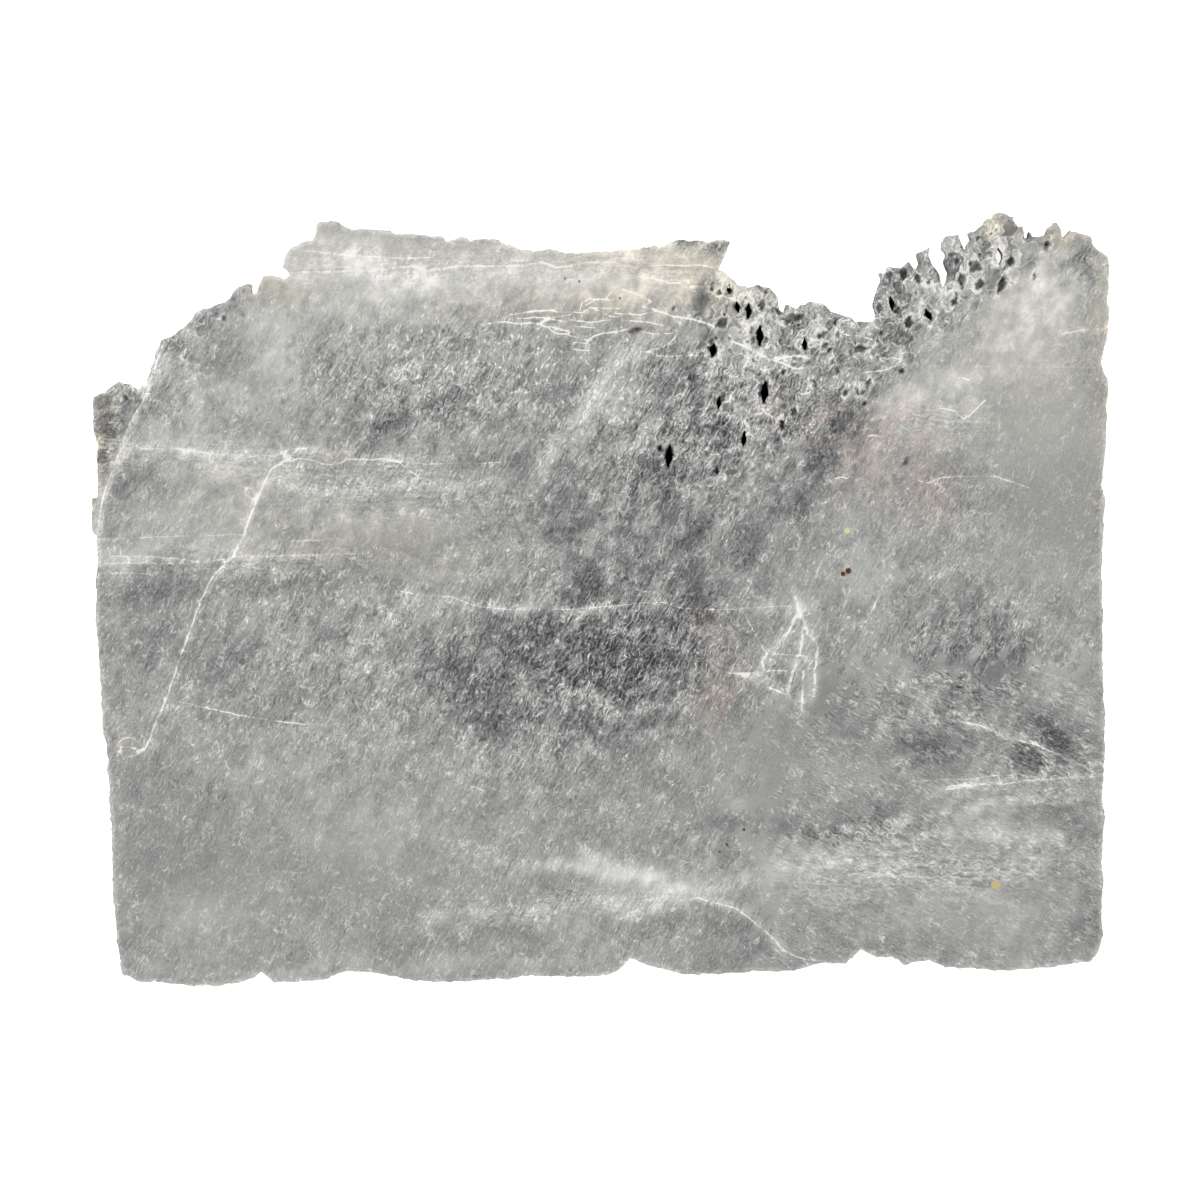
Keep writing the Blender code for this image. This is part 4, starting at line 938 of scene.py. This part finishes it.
# %% [markdown]
# ## Fine relief
#
# Up close the cleavage face isn't flat. It has shallow steps where single sheets end, faint
# grooves along the needles, a parted lip along each crack, and a rough, eaten surface near the
# holes. All of it is real height here, so that it also shows from the side and in the mesh.

# %% Relief on the face
SHEET_STEP = 0.11
SHEETS_PER_WAVE = 1.5
GROOVE = 0.07
NEEDLE_LEAN = 65
EATEN = ((0.5, 3.4, 107.0), (0.34, 1.5, 109.0))  # height, length, noise level
CRACK_DEPTH = 0.16
LIP_RISE = 0.2
PIT_WALL = 0.35  # over how wide a strip a pit sinks
WORN_EDGE = 0.35
WORN_WIDTH = 1.6
TOP_ROOM = 0.03  # the relief stays this far below the solid's highest point


def relief(points, masks):
    """Height of the fine relief at each point of the face."""
    field = 2.2 * waves(points, 42, 101.0) + 0.5 * waves(points, 9, 103.0)
    height = SHEET_STEP * np.floor(SHEETS_PER_WAVE * field)
    height += GROOVE * masks["needles"] * waves(points, 6.5, 105.0, width=1.7, lean=NEEDLE_LEAN)
    porous = np.clip(masks["porous"], 0, 1.1)
    height += porous * sum(size * waves(points, length, level) for size, length, level in EATEN)
    height -= CRACK_DEPTH * masks["crack_white"] * np.exp(-masks["crack"] ** 2 / 4)
    height += LIP_RISE * porous * masks["lip"]
    for x, y, long, wide, lean, depth in pits[len(PITS):]:
        close = around(points, [(x, y)], long)
        gap = rim_gap(points[close], x, y, long, wide, lean)
        height[close] -= depth * eased(-gap / PIT_WALL)
    worn = eased(1 - masks["edge"] / WORN_WIDTH)
    height -= WORN_EDGE * worn * (1 + waves(points, 3.0, 111.0))
    return height


face_z = np.minimum(face_z + relief(face, masks), TOP - TOP_ROOM)
floor_z = solid_height(face, 1)
face_z = np.maximum(face_z, np.where(floor_z < face_z, floor_z, 0) + LEAST_THICKNESS)

# %% [markdown]
# ## One closed mesh
#
# Face, wall and back become one mesh. The rings of the wall are joined corner to corner, so
# nothing is left open, and the walls of the holes are joined in the same way, turned inside out.

# %% Building the piece
LEDGE_WANDER = 0.035
RIM_WALL = 0.6  # how much the face's edge already looks like the wall
CREASE = 42  # degrees above which an edge stays sharp
points = [np.column_stack([face, face_z]), np.column_stack([back, back_z])]
faces = []
wall_mask = [np.zeros(len(face)), np.zeros(len(back))]
wall_mask[0][face_rings[0]] = RIM_WALL


def upright(flat, triangles, up):
    """The triangles, all turned to look up or down."""
    a, b, c = (flat[triangles[:, corner]] for corner in range(3))
    area = (b[:, 0] - a[:, 0]) * (c[:, 1] - a[:, 1]) - (b[:, 1] - a[:, 1]) * (c[:, 0] - a[:, 0])
    wrong = (area > 0) != up
    turned = triangles.copy()
    turned[wrong] = triangles[wrong][:, ::-1]
    return turned.tolist()


def joined(rings, outward):
    """Four-sided faces between each ring and the next one below it."""
    for upper, lower in zip(rings, rings[1:]):
        for a, b, c, d in zip(upper, np.roll(upper, -1), np.roll(lower, -1), lower):
            faces.append([a, b, c, d] if outward else [d, c, b, a])


def ring_between(flat, upper, lower, share, stray=0):
    """A new ring of points, this share of the way from the face down to the back."""
    first = sum(len(block) for block in points)
    top = face_z[upper]
    z = top + (back_z[lower] - top) * np.clip(share + stray, 0, 1)
    points.append(np.column_stack([flat, z]))
    wall_mask.append(np.ones(len(flat)))
    return list(range(first, first + len(flat)))


faces += upright(face, face_triangles, True)
faces += (np.array(upright(back, back_triangles, False)) + len(face)).tolist()
for number, (upper, lower) in enumerate(zip(face_rings, back_rings)):
    below = [len(face) + index for index in lower]
    if number == 0:
        stray = LEDGE_WANDER * waves(outline, 11, 121.0)
        between = [ring_between(flat, upper, lower, share, stray)
                   for share, flat in wall_rings[1:-1]]
    else:
        middle = 0.5 * (face[upper] + back[lower])
        middle += wander(middle, 0.12, 0.8, 131.0, 137.0)
        between = [ring_between(middle, upper, lower, 0.5)]
    joined([upper] + between + [below], number == 0)

corners = np.concatenate(points)
data = bpy.data.meshes.new("slab_surface")
data.from_pydata((corners * MM).tolist(), [], faces)
data.shade_smooth()
data.set_sharp_from_angle(angle=math.radians(CREASE))
slab = bpy.data.objects.new("slab_surface", data)
bpy.context.scene.collection.objects.link(slab)

masks = masks_of(corners[:, :2])
masks["wall"] = np.concatenate(wall_mask)
off_face = np.arange(len(corners)) >= len(face)
masks["crack"][off_face] = NO_CRACK
# Painted shade: the middle ring of each hole's wall is made fully dark.
hole_points = np.concatenate([np.array(ring) + len(face) for ring in back_rings[1:]])
masks["hollow"][hole_points] = 1.0
for name, values in masks.items():
    data.attributes.new(name, "FLOAT", "POINT").data.foreach_set("value", values)
print(f"slab_surface: {len(corners)} points, {len(faces)} faces")

# %% [markdown]
# ## Shader sums
#
# A material like this one is mostly arithmetic on noises and masks. Wiring it by hand takes a
# node for every plus and times. One small class lets the sums be written as plain Python, and
# each operator adds the Math node that it stands for.

# %% A socket that takes part in sums
class Link:
    """A shader socket. Sums of links, or of links and numbers, add Math nodes."""

    tree = None

    def __init__(self, socket):
        self.socket = socket

    @staticmethod
    def node(kind, settings=None, sockets=None, output=0):
        """A new node: first its settings, then its sockets' values or links."""
        made = Link.tree.nodes.new(kind)
        for name, value in (settings or {}).items():
            if name == "stops":
                ramp = made.color_ramp.elements
                while len(ramp) < len(value):
                    ramp.new(0.5)
                for stop, (place, colour) in zip(ramp, value):
                    stop.position = place
                    stop.color = (*colour, 1)
            else:
                setattr(made, name, value)
        for name, value in (sockets or {}).items():
            if isinstance(value, Link):
                Link.tree.links.new(value.socket, made.inputs[name])
            else:
                made.inputs[name].default_value = value
        return Link(made.outputs[output])

    def output(self, number):
        """Another output of the same node."""
        return Link(self.socket.node.outputs[number])

    def math(self, operation, first, second=None):
        sockets = {0: first} if second is None else {0: first, 1: second}
        return Link.node("ShaderNodeMath", {"operation": operation}, sockets)

    def __add__(self, other):
        return self.math("ADD", self, other)

    __radd__ = __add__

    def __sub__(self, other):
        return self.math("SUBTRACT", self, other)

    def __rsub__(self, other):
        return self.math("SUBTRACT", other, self)

    def __mul__(self, other):
        return self.math("MULTIPLY", self, other)

    __rmul__ = __mul__

    def __abs__(self):
        return self.math("ABSOLUTE", self)


def vector(operation, first, second, output=0):
    return Link.node("ShaderNodeVectorMath", {"operation": operation},
                     {0: first, 1: second}, output)


def band(value, low, high):
    """0 below low, 1 above high and soft between; the other way round where low > high."""
    settings = {"interpolation_type": "SMOOTHSTEP"}
    return Link.node("ShaderNodeMapRange", settings, {0: value, 1: low, 2: high})


def mask(name):
    return Link.node("ShaderNodeAttribute", {"attribute_name": name}, output=2)


def mixed(first, second, share):
    """A colour between two colours."""
    return Link.node("ShaderNodeMix", {"data_type": "RGBA", "clamp_factor": True},
                     {0: share, 6: first, 7: second}, output=2)


def clouds(place, detail=2.0, roughness=0.5, distortion=0.0):
    """Soft noise, 0 to 1 and mostly near the middle."""
    sockets = {"Vector": place, "Scale": 1.0, "Detail": detail,
               "Roughness": roughness, "Distortion": distortion}
    return Link.node("ShaderNodeTexNoise", None, sockets)


def ridged(place, detail, roughness):
    """Sharp crests with deep troughs between them, mostly 1 to 3."""
    sockets = {"Vector": place, "Scale": 1.0, "Detail": detail, "Roughness": roughness,
               "Offset": 1.0, "Gain": 2.0}
    return Link.node("ShaderNodeTexNoise", {"noise_type": "RIDGED_MULTIFRACTAL"}, sockets)


def stretched(place, length, width, lean, depth=4.0):
    """Coordinates for a pattern that is long along its lean and narrow across it."""
    sockets = {"Vector": place, "Rotation": (0, 0, math.radians(lean)),
               "Scale": (length, width, depth)}
    return Link.node("ShaderNodeMapping", {"vector_type": "TEXTURE"}, sockets)


# %% [markdown]
# ## The stone's material
#
# Gypsum is almost white where it is full of bubbles and fibres, and takes the dark of its depth
# where it is clear. So the material first works out one number, the tone, and a ramp turns it
# into the cool greys of a window or the warm whites of a veil. Every layer is at the size that
# it has in the real crystal, in millimetres.

# %% Places in the stone, in millimetres
stone = bpy.data.materials.new("selenite")
stone.use_nodes = True
Link.tree = stone.node_tree
shader = stone.node_tree.nodes["Principled BSDF"]

coordinates = Link.node("ShaderNodeTexCoord", output=3)
place = vector("MULTIPLY", coordinates, (1 / MM, 1 / MM, 1 / MM))
flat_x = Link.node("ShaderNodeSeparateXYZ", None, {0: place})
flat_y = flat_x.output(1)
drift = Link.node("ShaderNodeTexNoise", None,
                  {"Vector": place, "Scale": 1 / 2.6, "Detail": 0.0}, output=1)
drift = vector("SUBTRACT", drift, (0.5, 0.5, 0.5))


def drifted(reach):
    """Places that wander, so that no pattern runs quite straight."""
    return vector("ADD", place, vector("MULTIPLY", drift, (reach, reach, reach)))


bent = drifted(1.9)

veil = mask("veil")
window = mask("window")
needles = mask("needles")
porous = mask("porous")
wall = mask("wall")
lip = mask("lip")
hollow = mask("hollow")

# %% The lean of the fibres
# One family of fibres leans steeply up to the right. The other falls gently to the right and
# takes over in the lower right part of the slab. Each fibre pattern below is a noise in these
# turned coordinates, stretched along them.
STEEP = math.radians(62)
GENTLE = math.radians(-27)


def leaned(lean):
    return Link.node("ShaderNodeMapping", {"vector_type": "TEXTURE"},
                     {"Vector": bent, "Rotation": (0, 0, lean)})


turned = band(flat_x, 10.0, 90.0) * band(flat_y, 5.0, -45.0) + mask("mottle")
turned = band(turned, 0.44, 0.56)
grain = Link.node("ShaderNodeMix", {"data_type": "VECTOR"},
                  {0: turned, 4: leaned(STEEP), 5: leaned(GENTLE)}, output=1)


def grained(length, width, depth=4.0):
    return vector("MULTIPLY", grain, (1 / length, 1 / width, 1 / depth))


# %% Clouds and fibres
# Clouds say where fibres are dense. The crests of a ridged noise are the fibres themselves, and
# its troughs are the clear gaps between them.
busy = 0.22 + 0.75 * needles + 0.3 * porous + 0.2 * window - 0.3 * veil
large = mask("large")
middle = mask("mottle")
some = mask("some")
crumb = clouds(grained(3.0, 2.2), 3.0, 0.75) - 0.5
dense = band(middle + 0.6 * crumb + 0.3 * large + 0.12 * veil - 0.08 * window, -0.17, 0.14)
fibre = ridged(grained(2.6, 1.4), 3.0, 0.9)
here = band(some + 0.9 * crumb + 0.16 * busy, 0.55, 0.7)
crest = band(fibre, 2.1, 2.6) * here
trough = band(fibre, 1.7, 1.0) * (1 - dense)
rain = (clouds(grained(10.0, 0.6), 1.0, 0.6) - 0.5) * (1 - 0.7 * veil)


# %% Threads and single dashes
def cells(place, feature="F1"):
    """Irregular cells about one unit wide."""
    settings = {"voronoi_dimensions": "2D", "feature": feature}
    return Link.node("ShaderNodeTexVoronoi", settings, {"Vector": place, "Scale": 1.0})


def number_of(cell):
    """A number from 0 to 1 that each cell has for itself."""
    return Link.node("ShaderNodeSeparateColor", None, {0: cell.output(1)})


def dashes(place, rarity):
    """Bright dashes, each in a cell of its own."""
    cell = cells(place)
    return band(cell, 0.26, 0.08) * band(number_of(cell), rarity, rarity + 0.05)


thread = abs(clouds(grained(4.2, 2.6), 1.0, 0.6) - 0.5)
thread = band(thread, 0.028, 0.006) * band(some + 0.6 * crumb, 0.5, 0.6)
# Single bright dashes along the fibres: partly the crystal's own flecks, partly painted glints.
fleck_and_glint = dashes(grained(3.4, 0.8), 0.72)
flames = mask("flames")
flame = dashes(stretched(bent, 3.4, 1.7, 80), 0.5) * flames

# %% Eaten rims
# Where water ate the crystal, thin pale walls stand between glassy hollows. Each hollow has a grey
# of its own and darkens towards its walls, painted shade for the light falling on each facet.
curled = stretched(drifted(4.4), 6.5, 4.0, 62)
cell = cells(curled)
thin_wall = band(cells(curled, "DISTANCE_TO_EDGE"), 0.1, 0.01)
eaten = band(porous, 0.35, 0.95)
glassy_facet_shade = 0.54 + 0.26 * number_of(cell) - 0.2 * cell + 0.22 * thin_wall * band(some, 0.36, 0.52)

# %% The tone: 0 is black, 1 is white
BASE_TONE = 0.592
tone = BASE_TONE + 0.16 * veil - 0.15 * window + 0.2 * large + (0.15 + 0.35 * needles) * rain
tone = tone + (0.15 * dense - 0.06) * busy + (0.06 + 0.3 * veil) * middle
tone = tone + (0.04 + 0.06 * busy + 0.25 * veil) * crumb
tone = tone + (glassy_facet_shade + 0.4 * middle - tone) * (0.8 * eaten)
tone = tone + 0.06 * (fibre - 2.1) * busy
grit = clouds(grained(0.9, 0.5), 1.0, 0.7) - 0.5  # the finest crumbs
tone = tone + grit * (0.2 + 0.3 * busy) * (1 - 0.6 * veil)
fibres = crest * (0.07 + 0.05 * busy) * (1 - 0.5 * flames) - 0.05 * trough * busy
tone = tone + fibres * (1 - 0.6 * eaten) * (1 - 0.5 * veil)
tone = tone + (0.16 * thread + 0.2 * fleck_and_glint) * (0.6 + 0.4 * busy) * (1 - 0.8 * veil)
tone = tone + flame * (0.2 + 0.5 * crumb)

# Seen from above the sheets' edges are streaks, and on the wall they are fine layers.
sweep = clouds(stretched(bent, 34.0, 0.8, -2, 0.4), 2.0, 0.7) - 0.5
streaks = mask("streaks")
tone = tone + wall * (0.5 * sweep - 0.03)
feather = mask("feather")
tone = tone + streaks * (0.04 + 0.65 * sweep) + feather * (0.2 + 0.5 * rain + 0.3 * middle)

crack = mask("crack")
white = mask("crack_white")
broken = band(some + 0.8 * crumb, 0.4, 0.54)
line = band(crack, 0.9, 0.15) * white * (0.25 + 0.75 * broken)
halo = band(crack, 5.0, 0.5) * white
tone = tone + 0.38 * line + 0.03 * halo
# Painted highlight: the face is lighter within about 2 mm of the outline, as if its edge caught the
# light.
rim = band(mask("edge"), 2.0, 0.3)
tone = tone + 0.1 * rim * (1 - eaten)
tone = tone + 0.28 * lip * band(porous, 0.1, 0.6) * (0.55 + 1.9 * crumb)
CONTRAST = 1.3
MIDDLE_TONE = 0.64
tone = MIDDLE_TONE + CONTRAST * (tone - MIDDLE_TONE)
# Painted shade: the openings and pits darken, the through holes almost to black.
tone = tone * (1 - 0.9 * hollow)

# %% From tone to colour
GREYS = (
    (0.0, (0.03, 0.035, 0.045)),
    (0.3, (0.286, 0.292, 0.304)),
    (0.45, (0.445, 0.45, 0.449)),
    (0.6, (0.598, 0.6, 0.588)),
    (0.75, (0.742, 0.74, 0.722)),
    (0.9, (0.884, 0.88, 0.866)),
    (1.0, (0.965, 0.962, 0.95)),
)
colour = Link.node("ShaderNodeValToRGB", {"stops": GREYS}, {0: tone})
cream = mask("cream") * (0.6 + 1.6 * middle)
colour = mixed(colour, vector("MULTIPLY", colour, (1.07, 1.0, 0.9)), cream)
blush = mask("blush") * band(middle, -0.16, 0.06)
colour = mixed(colour, vector("MULTIPLY", colour, (1.0, 0.915, 0.89)), blush)

# %% [markdown]
# ## Specks
#
# A few grains of other minerals are caught in the stone: two iron-brown dots with rusty rims, a
# pale yellow fleck, an ochre one, three dark red ones and three faint brown ones. A grain is a
# disc about a given point, with its edge roughened by noise. A rusty rim is a wider disc, laid
# down before its dot.

# %% Grains of other minerals
SPECKS = (
    ((72.9, 7.7), 0.8, (0.42, 0.25, 0.12)),
    ((74.5, 8.6), 0.9, (0.45, 0.27, 0.12)),
    ((72.9, 7.7), 0.5, (0.16, 0.09, 0.05)),
    ((74.5, 8.6), 0.55, (0.16, 0.09, 0.05)),
    ((74.2, 20.6), 0.85, (0.85, 0.82, 0.62)),
    ((118.8, -85.6), 1.3, (0.78, 0.7, 0.5)),
    ((43.2, -69.0), 0.4, (0.3, 0.16, 0.14)),
    ((38.1, -73.5), 0.35, (0.34, 0.2, 0.18)),
    ((36.0, -75.7), 0.35, (0.34, 0.2, 0.18)),
    ((-10.5, 96.2), 0.3, (0.36, 0.31, 0.26)),
    ((-6.2, 95.4), 0.25, (0.36, 0.31, 0.26)),
    ((6.0, 90.4), 0.3, (0.36, 0.31, 0.26)),
)
rough_edge = 0.9 * crumb
for (x, y), radius, tint in SPECKS:
    away = vector("DISTANCE", vector("MULTIPLY", place, (1, 1, 0)), (x, y, 0), output=1)
    colour = mixed(colour, (*tint, 1), band(away + rough_edge, radius + 0.15, radius - 0.1))
print(len(SPECKS), "discs in the specks")

# %% The finished material
GAMMA = 2.2
base = Link.node("ShaderNodeGamma", None, {0: colour, 1: GAMMA})
gloss = 0.34 + 0.1 * veil + 0.16 * porous + 0.14 * dense
height = clouds(stretched(place, 1.6, 0.9, 60), 0.0) * (0.6 + 0.8 * porous)
bump = Link.node("ShaderNodeBump", None, {"Strength": 0.6, "Distance": 0.25 * MM, "Height": height})
for name, link in (("Base Color", base), ("Roughness", gloss), ("Normal", bump)):
    Link.tree.links.new(link.socket, shader.inputs[name])
shader.inputs["IOR"].default_value = 1.52  # gypsum
shader.inputs["Transmission Weight"].default_value = 0.14
data.materials.append(stone)

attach(slab, "root")
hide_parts("selenite_slab")
print(len(stone.node_tree.nodes), "nodes in the material")

# %% [markdown]
# ## Floor, light and camera
#
# The slab lies on a plain pale floor. Soft light from all round keeps the shadow faint. A large
# lamp from the upper left, with a weaker one across from it, lets the relief show.

# %% Floor, and a black card under the slab that stands in for shade, so that the openings read black
FLOOR_HALF = 3000
FLOOR = [(x * FLOOR_HALF, y * FLOOR_HALF) for x, y in ((-1, -1), (1, -1), (1, 1), (-1, 1))]
SHADE_CARD = [(-140, -100), (146, -100), (146, 60), (106, 92), (86, 92), (84, 76), (66, 70),
             (66, 79), (54, 82), (48, 90), (34, 96), (-66, 88), (-140, 20)]


def flat_sheet(name, corners, z, look, values):
    """A sheet of the stage, in one plain material."""
    mesh = bpy.data.meshes.new(name)
    mesh.from_pydata([(x * MM, y * MM, z * MM) for x, y in corners], [],
                     [list(range(len(corners)))])
    sheet = bpy.data.objects.new(name, mesh)
    bpy.context.scene.collection.objects.link(sheet)
    material = bpy.data.materials.new(look)
    material.use_nodes = True
    for socket, value in values.items():
        material.node_tree.nodes["Principled BSDF"].inputs[socket].default_value = value
    mesh.materials.append(material)


flat_sheet("floor", FLOOR, -0.2, "paper", {
    "Base Color": (0.92, 0.92, 0.92, 1), "Roughness": 0.9, "Specular IOR Level": 0.1,
    "Emission Color": (1, 1, 1, 1), "Emission Strength": 0.8})
flat_sheet("shade_card", SHADE_CARD, -0.1, "shade_card_black", {
    "Base Color": (0.01, 0.01, 0.01, 1), "Specular IOR Level": 0.0})

# %% Light
world = bpy.data.worlds.new("studio")
world.use_nodes = True
world.node_tree.nodes["Background"].inputs["Color"].default_value = (1, 1, 1, 1)
world.node_tree.nodes["Background"].inputs["Strength"].default_value = 0.9
bpy.context.scene.world = world


def lamp(name, place, size, power):
    """A square lamp that faces the middle of the slab."""
    light_data = bpy.data.lights.new(name, "AREA")
    light_data.size = size
    light_data.energy = power
    made = bpy.data.objects.new(name, light_data)
    made.location = place
    made.rotation_euler = Vector(place).to_track_quat("Z", "Y").to_euler()
    bpy.context.scene.collection.objects.link(made)


lamp("key", (-0.9, 0.9, 1.3), 1.2, 9)
lamp("fill", (1.3, -0.6, 1.4), 1.2, 4)

# %% Camera, straight above
VIEW_WIDTH = 0.36  # how wide a strip of the face the frame takes in
LENS = 250.0
SENSOR = 36.0
camera_data = bpy.data.cameras.new("camera")
camera_data.lens = LENS
camera_data.sensor_width = SENSOR
camera = bpy.data.objects.new("camera", camera_data)
camera.location = (0, -0.15 * MM, 12.0 * MM + VIEW_WIDTH * LENS / SENSOR)
bpy.context.scene.collection.objects.link(camera)
bpy.context.scene.camera = camera
bpy.context.scene.view_settings.view_transform = "Standard"
